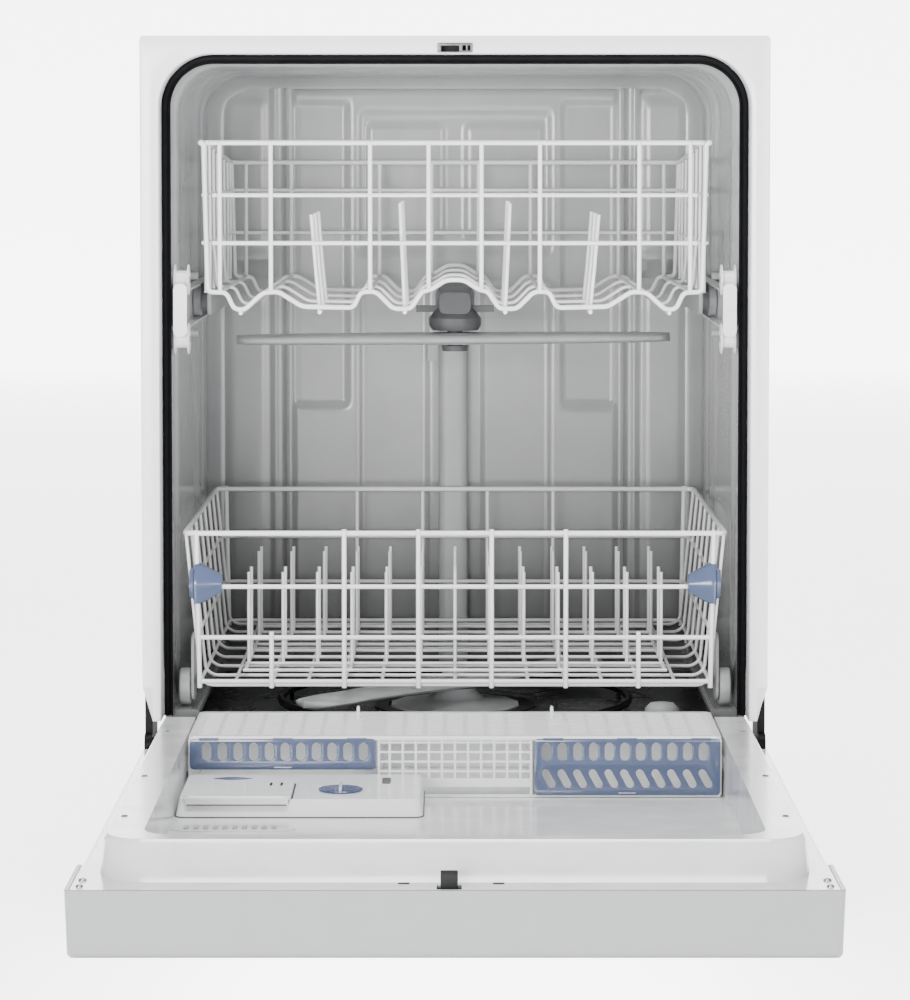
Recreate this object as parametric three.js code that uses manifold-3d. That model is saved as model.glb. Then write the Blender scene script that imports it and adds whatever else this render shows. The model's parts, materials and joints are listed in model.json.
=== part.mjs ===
// A built-in dishwasher with its drop-down door open.
// Millimetres, +Z up, +X to the right as seen from the front; the door opens towards -Y.
// Everything is laid out from the front plane of the tub (Y = 0) and shifted at the end,
// so that the origin is at the bottom centre of the whole object.
import * as THREE from 'three';
import { mergeVertices } from 'three/addons/utils/BufferGeometryUtils.js';
import Module from 'manifold-3d';

const wasm = await Module();
wasm.setup();

// Driving dimensions
const HALF_WIDTH = 303; // console, the widest part
const HEIGHT = 860; // top of the tub flange
const TUB_BACK = 560;
const DOOR_END = -680; // free edge of the open door
const PIVOT_Z = 182; // door hinge axis, on the tub's front plane
const GAP = 0.3; // clearance between pieces that touch
const WALL = 3; // usual moulding thickness

// Tub
const FLANGE_HALF = 300;
const FLANGE_LOW = 236.6; // the wide part of the flange ends here
const FLANGE_FOOT = 204; // the narrow part ends here
const FLANGE_DEEP = 4;
const MOUTH_HALF = 282;
const MOUTH_TOP = 842.8;
const MOUTH_RADIUS = 50;
const MOUTH_DEEP = 38.3; // step that the gasket seats on
const CAVITY_HALF = 275;
const CAVITY_TOP = 836;
const CAVITY_BACK = 545;
const FLOOR_Z = 175;
const TUB_UNDER = 165;
const LEDGE_Z = 208.5; // wheel track of the lower rack
const SUMP_Y = 280;
const SUMP_RADIUS = 75;

// Racks
const WIRE = 4.5;
const RACK_BACK = 505;
const UPPER = { front: 60, half: 244.5, rim: 758.7, rearRim: 738, floor: 614.5 };
const LOWER = { front: 45, half: 262, footHalf: 247, rim: 380.5, floor: 232 };
const RAIL_LOW = 578.5;
const RAIL_HIGH = 616.5;
const RAIL_INNER = 258.5;
const RAIL_OUTER = 270;
const RAIL_FRONT = 28.6; // just behind the closed door's liner
const TRACK_WHEEL_RADIUS = 15;
const TRACK_STATION = 56; // front pair of track wheels
const RACK_WHEEL_RADIUS = 18;
const RACK_WHEEL_STATIONS = [75, 455];
const ARM_RADIUS = 222;

// Door, lying open
const DOOR_SKIN = 126.4; // outer face, turned down
const DOOR_INNER = 179.7; // flat inner edge plane
const DOOR_HALF = 298;
const CONSOLE_START = -577;
const RING_TOP = 208.5; // raised ring of the liner, level with the tub ledges
const RING_HALF = 281.3;
const BASKET = { half: 245, mouth: -150, back: 4, low: 157.3, high: 213 };

// Colours
const WHITE = { color: 0xf0f1f1, roughness: 0.35, metalness: 0 };
const TUB_GREY = { color: 0xcfd2d3, roughness: 0.4, metalness: 0 };
const SATIN = { color: 0xd3d6d8, roughness: 0.3, metalness: 0.1 };
const RACK_WHITE = { color: 0xf2f3f3, roughness: 0.3, metalness: 0 };
const GREY = { color: 0xa3a7aa, roughness: 0.5, metalness: 0 };
const DARK = { color: 0x4b4e50, roughness: 0.6, metalness: 0 };
const BLACK = { color: 0x1b1c1d, roughness: 0.7, metalness: 0 };
const STEEL = { color: 0xb9bcbe, roughness: 0.3, metalness: 1 };
const BLACK_STEEL = { color: 0x222324, roughness: 0.5, metalness: 0.6 };
const BLUE = { color: 0x7383a9, roughness: 0.35, metalness: 0 };
const NAVY = { color: 0x3d4a6b, roughness: 0.35, metalness: 0 };
const FELT = { color: 0x55585a, roughness: 0.95, metalness: 0 };

// Which way a cross-section's two coordinates and its extrusion point, for each extrusion axis
const BASES = {
  x: [[0, 1, 0], [0, 0, 1], [1, 0, 0]],
  y: [[1, 0, 0], [0, 0, 1], [0, 1, 0]],
  z: [[1, 0, 0], [0, 1, 0], [0, 0, 1]],
};

// Turns a closed three.js geometry into a solid, faces outwards.
function solid(geometry) {
  const bare = geometry.clone();
  bare.deleteAttribute('normal');
  bare.deleteAttribute('uv');
  const merged = mergeVertices(bare, 1e-4);
  const points = merged.attributes.position.array;
  const index = merged.index.array;
  let triangles = [];
  let volume = 0;
  for (let i = 0; i < index.length; i += 3) {
    const [a, b, c] = [index[i], index[i + 1], index[i + 2]];
    if (a === b || b === c || c === a) continue;
    triangles.push([a, b, c]);
    const [p, q, r] = [a, b, c].map((v) => new THREE.Vector3().fromArray(points, v * 3));
    volume += p.dot(q.cross(r));
  }
  if (volume < 0) triangles = triangles.map(([a, b, c]) => [a, c, b]);
  const mesh = new wasm.Mesh({
    numProp: 3,
    vertProperties: new Float32Array(points),
    triVerts: new Uint32Array(triangles.flat()),
  });
  return new wasm.Manifold(mesh);
}

const join = (...solids) => solids.flat().reduce((whole, next) => whole.add(next));
const cut = (body, ...tools) => tools.flat().reduce((whole, next) => whole.subtract(next), body);
const mirrored = (body) => body.mirror([1, 0, 0]);
const bothSides = (body) => [body, mirrored(body)];

function box(x0, x1, y0, y1, z0, z1) {
  const geometry = new THREE.BoxGeometry(x1 - x0, y1 - y0, z1 - z0);
  return solid(geometry.translate((x0 + x1) / 2, (y0 + y1) / 2, (z0 + z1) / 2));
}

// A closed body through outlines with equal point counts; each section is [height along axis, outline].
function loft(axis, sections) {
  const [first, second, along] = BASES[axis].map((v) => new THREE.Vector3(...v));
  const flat = sections.map(([, outline]) => outline.map(([a, b]) => new THREE.Vector2(a, b)));
  if (THREE.ShapeUtils.isClockWise(flat[0])) flat.forEach((outline) => outline.reverse());
  const count = flat[0].length;
  const positions = flat.flatMap((outline, level) => outline.flatMap(({ x, y }) => {
    const point = along.clone().multiplyScalar(sections[level][0]);
    return point.addScaledVector(first, x).addScaledVector(second, y).toArray();
  }));
  const index = [];
  for (let low = 0; low < (flat.length - 1) * count; low += count) {
    for (let i = 0; i < count; i += 1) {
      const j = (i + 1) % count;
      index.push(low + i, low + j, low + count + j, low + i, low + count + j, low + count + i);
    }
  }
  const last = (flat.length - 1) * count;
  for (const [a, b, c] of THREE.ShapeUtils.triangulateShape(flat[0], [])) index.push(a, c, b);
  for (const [a, b, c] of THREE.ShapeUtils.triangulateShape(flat.at(-1), [])) {
    index.push(last + a, last + b, last + c);
  }
  const geometry = new THREE.BufferGeometry();
  geometry.setAttribute('position', new THREE.Float32BufferAttribute(positions, 3));
  geometry.setIndex(index);
  return solid(geometry);
}

const prism = (axis, outline, from, to) => loft(axis, [[from, outline], [to, outline]]);

// Rectangle with its corners rounded: radii run from the low-low corner anticlockwise.
function rounded(a0, a1, b0, b1, radii, steps = 4) {
  const [r0, r1, r2, r3] = Array.isArray(radii) ? radii : [radii, radii, radii, radii];
  const corners = [
    [a0 + r0, b0 + r0, r0, Math.PI],
    [a1 - r1, b0 + r1, r1, Math.PI * 1.5],
    [a1 - r2, b1 - r2, r2, 0],
    [a0 + r3, b1 - r3, r3, Math.PI / 2],
  ];
  return corners.flatMap(([a, b, r, start]) => {
    if (r === 0) return [[a, b]];
    return Array.from({ length: steps + 1 }, (_, i) => {
      const angle = start + (i / steps) * (Math.PI / 2);
      return [a + r * Math.cos(angle), b + r * Math.sin(angle)];
    });
  });
}

// The tub's outline from the front: square below, rounded above.
const arch = (half, low, high, radius) => rounded(-half, half, low, high, [0, 0, radius, radius], 6);

const circle = (a, b, radius, sides) => Array.from({ length: sides }, (_, i) => {
  const angle = (i / sides) * Math.PI * 2;
  return [a + radius * Math.cos(angle), b + radius * Math.sin(angle)];
});

const rod = (axis, a, b, radius, from, to, sides = 14) => prism(axis, circle(a, b, radius, sides), from, to);

// A solid of revolution about the vertical line through (x, y); profile is [radius, z] pairs.
function turnedBody(x, y, profile, sides = 24) {
  const geometry = new THREE.LatheGeometry(profile.map(([r, z]) => new THREE.Vector2(r, z)), sides);
  return solid(geometry.rotateX(Math.PI / 2).translate(x, y, 0));
}

// A flat bar of the given thickness bent along a path of [a, b] points, across axis.
function bentBar(axis, path, thickness, from, to) {
  const points = path.map(([a, b]) => new THREE.Vector2(a, b));
  const normals = points.slice(1).map((p, i) => {
    const step = p.clone().sub(points[i]).normalize();
    return new THREE.Vector2(-step.y, step.x);
  });
  const offsets = points.map((_, i) => {
    const before = normals[Math.max(i - 1, 0)];
    const after = normals[Math.min(i, normals.length - 1)];
    const middle = before.clone().add(after).normalize();
    return middle.multiplyScalar(thickness / 2 / middle.dot(before));
  });
  const left = points.map((p, i) => [p.x + offsets[i].x, p.y + offsets[i].y]);
  const right = points.map((p, i) => [p.x - offsets[i].x, p.y - offsets[i].y]);
  return prism(axis, [...left, ...right.reverse()], from, to);
}

// A level wire ring: outer half width and Y range, with the given square section.
function wireRing(half, y0, y1, z) {
  const r = WIRE / 2;
  const outer = box(-half - r, half + r, y0 - r, y1 + r, z - r, z + r);
  return cut(outer, box(-half + r, half - r, y0 + r, y1 - r, z - WIRE, z + WIRE));
}

const group = new THREE.Group();

function piece(name, body, finish, place = {}) {
  const mesh = body.getMesh();
  const geometry = new THREE.BufferGeometry();
  geometry.setAttribute('position', new THREE.BufferAttribute(mesh.vertProperties, 3));
  geometry.setIndex(new THREE.BufferAttribute(mesh.triVerts, 1));
  geometry.computeVertexNormals();
  const part = new THREE.Mesh(geometry, new THREE.MeshStandardMaterial(finish));
  part.name = name;
  part.position.set(place.x ?? 0, place.y ?? 0, place.z ?? 0);
  part.rotation.z = place.turn ?? 0;
  group.add(part);
}

// One piece for each side: left as mirrored, right as drawn.
function pair(name, body, finish) {
  piece(`${name}_right`, body, finish);
  piece(`${name}_left`, mirrored(body), finish);
}

// ---- Tub and what is fixed to it ----

const AXLE_RADIUS = 3.6;
const AXLE_BORE = 4;
const TRACK_UPPER_Z = RAIL_HIGH + 9.5;
const TRACK_LOWER_Z = RAIL_LOW - 9.5;
const LATCH = { x0: -11.3, x1: 2.3, y0: -668, y1: -663, top: 192, pivotY: -665.5, pivotZ: 170 };

function tub() {
  const shell = loft('y', [
    [FLANGE_DEEP - 1, arch(281, TUB_UNDER, 842, 52)],
    [TUB_BACK, arch(278, TUB_UNDER, 839, 50)],
  ]);
  const neck = prism('y', arch(290, FLANGE_FOOT, 852, 58), FLANGE_DEEP - 1, MOUTH_DEEP + 6);
  const flange = join(
    box(-FLANGE_HALF, FLANGE_HALF, 0, FLANGE_DEEP, FLANGE_LOW, HEIGHT),
    box(-290, 290, 0, FLANGE_DEEP, FLANGE_FOOT, FLANGE_LOW + 1),
  );
  const mouth = prism('y', arch(MOUTH_HALF, TUB_UNDER - 10, MOUTH_TOP, MOUTH_RADIUS), -1, MOUTH_DEEP);
  const cavity = loft('y', [
    [MOUTH_DEEP - 1, arch(CAVITY_HALF, FLOOR_Z, CAVITY_TOP, 45)],
    [515, arch(273, FLOOR_Z, 834, 45)],
    [537, arch(266, FLOOR_Z + 4, 829, 42)],
    [CAVITY_BACK, arch(256, FLOOR_Z + 12, 821, 36)],
  ]);
  const sumpHole = rod('z', 0, SUMP_Y, SUMP_RADIUS, TUB_UNDER - 5, FLOOR_Z + 5, 24);
  const strikePocket = box(-14, 5, -1, 15, 844.8, 850.9);
  const lip = box(-280, 280, 34, MOUTH_DEEP + 4, TUB_UNDER, 199);
  const ledge = box(248, 278, MOUTH_DEEP + 3, CAVITY_BACK + 3, 199, LEDGE_Z);
  const axles = [TRACK_STATION, TRACK_STATION + 110].flatMap((y) => [TRACK_UPPER_Z, TRACK_LOWER_Z]
    .map((z) => rod('x', y, z, AXLE_RADIUS, RAIL_INNER - 2, CAVITY_HALF + 3, 8)));
  const added = join(ledge, axles);
  return join(cut(join(shell, neck, flange), mouth, cavity, sumpHole, strikePocket), lip, bothSides(added));
}

function gasket() {
  const outer = prism('y', arch(MOUTH_HALF - 0.4, 205, MOUTH_TOP - 0.4, MOUTH_RADIUS - 0.4), 28.2, 38);
  const inner = prism('y', arch(273, 200, 834, 41), 27, 39);
  const groove = prism('y', arch(277.6, 200, 838.4, 45.4), 27, 30.5);
  const crest = prism('y', arch(276.2, 200, 837, 44), 26, 31);
  return cut(outer, inner, cut(groove, crest));
}

function strikePlate() {
  const plate = box(-17, 17, -1.5, -GAP, 843.7, 853.3);
  const latchSlot = box(-13.6, 4.6, -3, 1, 844.4, 851.2);
  const sideSlot = box(8, 14, -3, 1, 846.5, 850.5);
  return cut(plate, latchSlot, sideSlot);
}

function trackWheel() {
  const profile = [[AXLE_BORE, -7.2], [TRACK_WHEEL_RADIUS, -7.2], [TRACK_WHEEL_RADIUS, -6.4], [9, -6.1],
    [9, 6.1], [TRACK_WHEEL_RADIUS, 6.4], [TRACK_WHEEL_RADIUS, 7.2], [AXLE_BORE, 7.2], [AXLE_BORE, -7.2]];
  return turnedBody(0, 0, profile, 12).rotate([0, 90, 0]);
}

// ---- Base ----

const FRAME_OUT = 297;
const FRAME_LOW = 30;
const UPRIGHT = { in: 290.4, out: 297.6, top: 236.2 };
const PIN_RADIUS = 4;
const LEG = { x: 265, front: 45, back: 525, stud: 6, foot: 18 };

function baseFrame() {
  const web = box(FRAME_OUT - 2, FRAME_OUT, 44, 556, FRAME_LOW, TUB_UNDER - GAP);
  const footFlange = box(250, FRAME_OUT, 30, 556, FRAME_LOW, FRAME_LOW + 2);
  const shelf = box(255, FRAME_OUT, 44, 556, TUB_UNDER - GAP - 2.5, TUB_UNDER - GAP);
  const upright = box(UPRIGHT.in, UPRIGHT.out, 2, 60, FRAME_LOW, UPRIGHT.top);
  const ear = rod('x', 0, PIVOT_Z, 11, UPRIGHT.in, UPRIGHT.out, 16);
  const pinHole = rod('x', 0, PIVOT_Z, PIN_RADIUS + 0.6, UPRIGHT.in - 2, UPRIGHT.out + 2, 16);
  const side = cut(join(web, footFlange, shelf, upright, ear), pinHole);
  const frontBar = box(-290, 290, 30, 60, FRAME_LOW, FRAME_LOW + 5);
  const rearBar = box(-290, 290, 510, 540, FRAME_LOW, FRAME_LOW + 5);
  const middleBar = box(-290, 290, 300, 318, FRAME_LOW, FRAME_LOW + 3);
  return join(bothSides(side), frontBar, rearBar, middleBar);
}

function leg() {
  const top = FRAME_LOW - GAP;
  const profile = [[0, 0], [LEG.foot, 0], [LEG.foot, 4], [LEG.stud, 9], [LEG.stud, top], [0, top]];
  return turnedBody(0, 0, profile, 14);
}

function accessPanel() {
  const face = box(-DOOR_HALF, DOOR_HALF, -15, -12.6, 10, 110);
  const sideReturn = box(DOOR_HALF - 2.4, DOOR_HALF, -14, 1.6, 10, 110);
  const topReturn = box(-DOOR_HALF, DOOR_HALF, -14, 1.6, 107.6, 110);
  const vents = Array.from({ length: 5 }, (_, i) => box(-100 + i * 44, -76 + i * 44, -20, -10, 40, 44));
  return cut(join(face, bothSides(sideReturn), topReturn), vents);
}

function soundBlanket() {
  return cut(
    prism('y', arch(297, 240, 856, 60), 48, 556),
    prism('y', arch(283, 230, 844.3, 54), 40, 560),
  );
}

const SUMP_BOTTOM = 105;
const FILTER_RADIUS = 67.5;

function sump() {
  const profile = [[0, SUMP_BOTTOM], [60, SUMP_BOTTOM], [SUMP_RADIUS - 1, SUMP_BOTTOM + 14],
    [SUMP_RADIUS - 1, FLOOR_Z + GAP], [SUMP_RADIUS + 9, FLOOR_Z + GAP], [SUMP_RADIUS + 9, FLOOR_Z + 3],
    [SUMP_RADIUS - 5, FLOOR_Z + 3], [SUMP_RADIUS - 5, SUMP_BOTTOM + 16], [56, SUMP_BOTTOM + 4],
    [0, SUMP_BOTTOM + 4]];
  const cup = turnedBody(0, SUMP_Y, profile, 18);
  const motorBoss = rod('y', 0, 132, 24, SUMP_Y - 92, SUMP_Y - 70, 16);
  const pumpBoss = rod('x', SUMP_Y, 128, 16, 70, 92, 14);
  return join(cup, motorBoss, pumpBoss);
}

const HUB_RADIUS = 8;
const ARM_LOW = 197;
const ARM_HIGH = 209;

function sumpFilter() {
  const profile = [[0, 150], [24, 150], [24, FLOOR_Z + 3.4], [FILTER_RADIUS, FLOOR_Z - 2], [FILTER_RADIUS, FLOOR_Z + 4],
    [30, FLOOR_Z + 9], [22, FLOOR_Z + 18], [22, ARM_LOW - 1], [HUB_RADIUS, ARM_LOW - 1],
    [HUB_RADIUS, ARM_HIGH + 1], [HUB_RADIUS + 6, ARM_HIGH + 1], [HUB_RADIUS + 4, ARM_HIGH + 5], [0, ARM_HIGH + 6]];
  return turnedBody(0, SUMP_Y, profile, 14);
}

// A spray arm about the vertical axis, drawn along X: a lens in plan with nozzle bumps, and a hub bore.
function sprayArm(radius, low, high) {
  const plan = (grow) => {
    const quarter = [[radius + grow, 4], [radius - 6 + grow, 8 + grow], [60, 17 + grow], [26, 24 + grow]];
    const half = [...quarter, ...quarter.map(([x, y]) => [-x, y]).reverse()];
    return [...half, ...half.map(([x, y]) => [-x, -y])];
  };
  const body = loft('z', [[low, plan(-4)], [low + 4, plan(0)], [high - 3, plan(0)], [high, plan(-5)]]);
  const places = [0.4, 0.8].flatMap((share) => [share * radius, -share * radius]);
  const nozzles = places.map((x) => rod('z', x, 0, 4, high - 2, high + 1.4, 6));
  return cut(join(body, nozzles), rod('z', 0, 0, HUB_RADIUS + 0.6, low - 5, high + 5, 14));
}

function washMotor() {
  const can = rod('y', 0, 105, 52, 70, 168, 18);
  const nose = rod('y', 0, 132, 20, 160, SUMP_Y - 92 - GAP, 16);
  const tail = rod('y', 0, 105, 22, 58, 72, 16);
  const mount = box(-45, 45, 90, 150, FRAME_LOW + 16, 70);
  return join(can, nose, tail, mount);
}

function drainPump() {
  const body = rod('x', SUMP_Y, 128, 26, 92 + GAP, 130, 18);
  const motor = box(130, 168, SUMP_Y - 24, SUMP_Y + 24, 104, 152);
  const outlet = rod('y', 112, 118, 9, SUMP_Y, 400, 12);
  return join(body, box(128, 132, SUMP_Y - 18, SUMP_Y + 18, 110, 146), motor, outlet);
}

const VALVE = { x: -205, y: 80, z: 70 };

function inletValve() {
  const body = rod('x', VALVE.y, VALVE.z, 15, VALVE.x - 26, VALVE.x + 14, 16);
  const coil = box(VALVE.x - 14, VALVE.x + 11, VALVE.y - 17, VALVE.y + 17, VALVE.z + 9, VALVE.z + 40);
  const fitting = rod('y', VALVE.x - 11, VALVE.z, 9.3, VALVE.y - 34, VALVE.y, 12);
  const outlet = rod('x', VALVE.y, VALVE.z, 7.6, VALVE.x + 8, VALVE.x + 30, 10);
  return join(body, coil, fitting, outlet);
}

function fillHose() {
  const stops = [
    [VALVE.x + 30 + GAP, VALVE.y, VALVE.z],
    [VALVE.x + 60, VALVE.y, VALVE.z],
    [VALVE.x + 80, VALVE.y + 60, VALVE.z + 10],
    [VALVE.x + 80, SUMP_Y - 40, 125],
    [-110, SUMP_Y, 135],
    [-SUMP_RADIUS - GAP, SUMP_Y, 135],
  ];
  const path = new THREE.CatmullRomCurve3(stops.map((p) => new THREE.Vector3(...p)), false, 'centripetal');
  const section = new THREE.Shape(circle(0, 0, 7, 8).map(([x, y]) => new THREE.Vector2(x, y)));
  return solid(new THREE.ExtrudeGeometry(section, { steps: 22, extrudePath: path, bevelEnabled: false }));
}

function junctionBox() {
  const body = box(175, 245, 64, 124, FRAME_LOW + 16, 96);
  const cover = loft('y', [[58, rounded(179, 241, 50, 92, 6)], [64.5, rounded(176, 244, 47, 95, 6)]]);
  const gland = rod('z', 232, 95, 8, 95, 104, 10);
  return join(body, cover, gland);
}

const HEATER = { y: 265, z: 187, radius: 180, tube: 4 };

function heatingElement() {
  const ring = solid(new THREE.TorusGeometry(HEATER.radius, HEATER.tube, 5, 30).translate(0, HEATER.y, HEATER.z));
  const foot = (angle) => {
    const x = HEATER.radius * Math.cos(angle);
    const y = HEATER.y + HEATER.radius * Math.sin(angle);
    return rod('z', x, y, 2.5, FLOOR_Z + GAP, HEATER.z, 5);
  };
  return join(ring, [0.1, 0.42, 0.9].map((turn) => foot(turn * Math.PI)), foot(-0.55 * Math.PI));
}

const PORT_Z = 597;

function feedTube() {
  const riser = prism('z', rounded(-18, 14, 514, 540, 9, 3), FLOOR_Z + 12, PORT_Z + 16);
  const elbow = loft('z', [
    [FLOOR_Z + GAP, rounded(-15, 13, 480, 513, 6, 3)],
    [FLOOR_Z + 18, rounded(-18, 14, 514, 532, 9, 3)],
  ]);
  const duct = box(-15, 13, SUMP_Y + SUMP_RADIUS + 12, 500, FLOOR_Z + GAP, FLOOR_Z + 6.5);
  const port = rod('y', -2, PORT_Z, 13, 507, 520, 16);
  const clip = box(-30, -14, 528, 544, 520, 545);
  return join(riser, elbow, duct, port, clip);
}

function doorSpring() {
  const turns = 9;
  const length = 280;
  const profile = [[0, -length / 2 - 16], [2, -length / 2 - 16], [2, -length / 2]];
  for (let i = 0; i < turns; i += 1) {
    const z = -length / 2 + (i * length) / turns;
    profile.push([8, z + length / turns / 2], [5.5, z + length / turns]);
  }
  profile.push([2, length / 2], [2, length / 2 + 16], [0, length / 2 + 16]);
  return turnedBody(0, 0, profile, 6).rotate([90, 0, 0]);
}

function floatDome() {
  const profile = [[0, FLOOR_Z + 1], [17, FLOOR_Z + 1], [18, FLOOR_Z + 6], [17, 194], [12, 199], [0, 200.5]];
  return turnedBody(207, 148, profile, 16);
}

// ---- Upper rack ----

const UPPER_UPRIGHTS = [25.6, 82.3, 178.5, 228];
const WAVE = [[0, 624.5], [26, 614], [43, 597], [56, 597], [75, 615], [93, 615], [101, 599], [147, 599],
  [179, 615], [210, 597], [222, 614], [242, 614]];

function upperBasket() {
  const r = WIRE / 2;
  const front = UPPER.front + r;
  const back = RACK_BACK - r;
  const lengthways = UPPER_UPRIGHTS.flatMap((x) => [x, -x]).map((x) => bentBar('x', [
    [front, UPPER.rim - r], [front, UPPER.floor], [back, UPPER.floor], [back, UPPER.rearRim - r],
  ], WIRE, x - r, x + r));
  const wave = [...WAVE.slice(1).reverse().map(([x, z]) => [-x, z]), ...WAVE];
  const across = [front + 2, 285, back - 2].map((y) => bentBar('y', [
    [-UPPER.half, 661], ...wave, [UPPER.half, 661],
  ], WIRE, y - r, y + r));
  const rings = [708, 661.5].map((z) => wireRing(UPPER.half, UPPER.front, RACK_BACK, z));
  const frontRim = box(-UPPER.half, UPPER.half, UPPER.front - r, UPPER.front + r, UPPER.rim - r, UPPER.rim + r);
  const rearRim = box(-UPPER.half, UPPER.half, RACK_BACK - r, RACK_BACK + r, UPPER.rearRim - r, UPPER.rearRim + r);
  const sideRim = bentBar('x', [
    [UPPER.front, UPPER.rim], [250, UPPER.rim - 8], [RACK_BACK, UPPER.rearRim],
  ], WIRE, UPPER.half - r, UPPER.half + r);
  const post = (y) => box(UPPER.half - 3, UPPER.half + 1, y - r, y + r, 655, 741);
  const posts = [front, 285, back].map(post);
  return join(lengthways, across, rings, frontRim, rearRim, bothSides(join(sideRim, posts)));
}

function upperRail() {
  const web = box(267.8, RAIL_OUTER, RAIL_FRONT + 4, 515, RAIL_LOW, RAIL_HIGH);
  const topFlange = box(RAIL_INNER, RAIL_OUTER, RAIL_FRONT + 4, 515, RAIL_HIGH - 2.2, RAIL_HIGH);
  const lowFlange = box(RAIL_INNER, RAIL_OUTER, RAIL_FRONT + 4, 515, RAIL_LOW, RAIL_LOW + 2.2);
  const capOutline = rounded(RAIL_INNER - 0.5, RAIL_OUTER + 1, RAIL_LOW - 6.5, RAIL_HIGH + 6.5, 5, 3);
  const cap = prism('y', capOutline, RAIL_FRONT, RAIL_FRONT + 5);
  const rearStop = box(RAIL_INNER, RAIL_OUTER, 513, 518, RAIL_LOW, RAIL_HIGH);
  return join(web, topFlange, lowFlange, cap, rearStop);
}

const ROLLER_STATIONS = [258, 455];
const ROLLER_Z = (RAIL_LOW + RAIL_HIGH) / 2;

function upperCarrier() {
  const plate = prism('x', rounded(215, 485, 584, 622, 8, 3), 247.1, 251);
  const rollers = ROLLER_STATIONS.map((y) => join(
    rod('x', y, ROLLER_Z, 9, 250, 260, 10),
    rod('x', y, ROLLER_Z, 15.8, 259.6, 267.2, 14),
  ));
  return join(plate, rollers);
}

const MID_ARM = { y: 275, low: 552, high: 564 };

function sprayManifold() {
  const conduit = loft('y', [
    [252, rounded(-16, 16, 584, 606, 6, 3)],
    [300, rounded(-20, 20, 583, 610, 7, 3)],
    [470, rounded(-15, 15, 585, 609, 7, 3)],
    [506, rounded(-13, 13, 586, 608, 7, 3)],
  ]);
  const profile = [[0, MID_ARM.low - 7], [13, MID_ARM.low - 7], [14, MID_ARM.low - 1.5], [HUB_RADIUS, MID_ARM.low - 1.5],
    [HUB_RADIUS, MID_ARM.high + 2.5], [24, MID_ARM.high + 2.5], [27, 572], [27, 579], [20, 588], [0, 588]];
  const wing = box(16, 40, MID_ARM.y - 3, MID_ARM.y + 3, 585, 592);
  return join(conduit, turnedBody(0, MID_ARM.y, profile, 16), bothSides(wing));
}

// ---- Lower rack ----

const LOWER_UPRIGHTS = [35.5, 107.5];
const LOWER_SHORT = 178;
const LOWER_POST = 247.7;
const lean = (z) => LOWER.footHalf + (LOWER.half - LOWER.footHalf) * ((z - LOWER.floor) / (LOWER.rim - LOWER.floor));

function lowerBasket() {
  const r = WIRE / 2;
  const front = LOWER.front + r;
  const back = RACK_BACK - r;
  const deck = LOWER.floor + 3;
  const basin = (x, top) => bentBar('x', [[front, top], [front, deck], [back, deck], [back, top]],
    WIRE, x - r, x + r);
  const lengthways = LOWER_UPRIGHTS.flatMap((x) => [x, -x]).map((x) => basin(x, LOWER.rim));
  const shorter = [LOWER_SHORT, -LOWER_SHORT].map((x) => basin(x, 285));
  const across = [LOWER.front + 4, 190, 360, RACK_BACK - 4].map((y) => bentBar('y', [
    [-lean(LOWER.rim), LOWER.rim], [-LOWER.footHalf, LOWER.floor], [LOWER.footHalf, LOWER.floor],
    [lean(LOWER.rim), LOWER.rim],
  ], WIRE, y - r, y + r));
  const rings = [LOWER.rim, 328.5, 279].map((z) => wireRing(lean(z), LOWER.front, RACK_BACK, z));
  const corner = (y) => box(LOWER_POST - r, LOWER_POST + r, y - r, y + r, 235, LOWER.rim);
  return join(lengthways, shorter, across, rings, bothSides(join(corner(front), corner(back))));
}

function lowerTines() {
  const r = 1.9;
  const low = 237.6;
  const rows = [190, 360];
  const bars = rows.map((y) => box(-210, 210, y - r, y + r, low, low + 2 * r));
  const ties = [-196, 196].map((x) => box(x - r, x + r, rows[0], rows.at(-1), low, low + 2 * r));
  const columns = Array.from({ length: 13 }, (_, i) => (i - 6) * 34.3);
  const tines = rows.flatMap((y) => columns.map((x) => box(x - r, x + r, y - r, y + r, low + 1, 332)));
  return join(bars, ties, tines);
}

function cornerClip() {
  const r = WIRE / 2 + GAP;
  const cone = loft('x', [
    [226, circle(46, 330, 9, 8)],
    [236, circle(46, 331, 15, 8)],
    [252, circle(46, 332, 19, 8)],
    [256, circle(46, 332, 17, 8)],
  ]);
  const trimmed = cone.intersect(box(200, 300, 34, 60, 300, 370));
  const ringWay = box(200, 300, LOWER.front - r, 70, 328.5 - r, 328.5 + r);
  const postWay = box(LOWER_POST - r, LOWER_POST + r, LOWER.front - GAP, 70, 280, 380);
  const wallWay = box(250.5, 300, LOWER.front - GAP, 70, 280, 380);
  return cut(trimmed, ringWay, postWay, wallWay);
}

const RACK_WHEEL_Z = LEDGE_Z + 0.7 + RACK_WHEEL_RADIUS;

function wheelCarrier() {
  const plate = loft('x', [
    [254.5, rounded(-17, 17, 214, 280, 10, 2)],
    [257.4, rounded(-16, 16, 215, 279, 10, 2)],
  ]);
  const axle = rod('x', 0, RACK_WHEEL_Z, AXLE_RADIUS, 257, 270, 8);
  return join(plate, axle);
}

function rackWheel() {
  const profile = [[AXLE_BORE, -5.5], [RACK_WHEEL_RADIUS, -5.5], [RACK_WHEEL_RADIUS, 5.5], [13, 5.5],
    [11, 3], [AXLE_BORE, 3], [AXLE_BORE, -5.5]];
  return turnedBody(0, 0, profile, 14).rotate([0, 90, 0]);
}

// ---- Door ----

const RING_FAR = -622; // crest of the ring nearest the console
const RECESS = { half: 249, far: -606, floor: 166, deepFrom: -246, deepFloor: 157 };
const HINGE_CLEAR = -16; // door edges start here, clear of the hinge ears
const DISPENSER = { x0: -246, x1: -28, back: -160, front: -290, top: 181 };
const CUP = { x0: -236, x1: -148, y0: -286, y1: -222 };
const RINSE = { x: -102, y: -246, radius: 18 };

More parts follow.
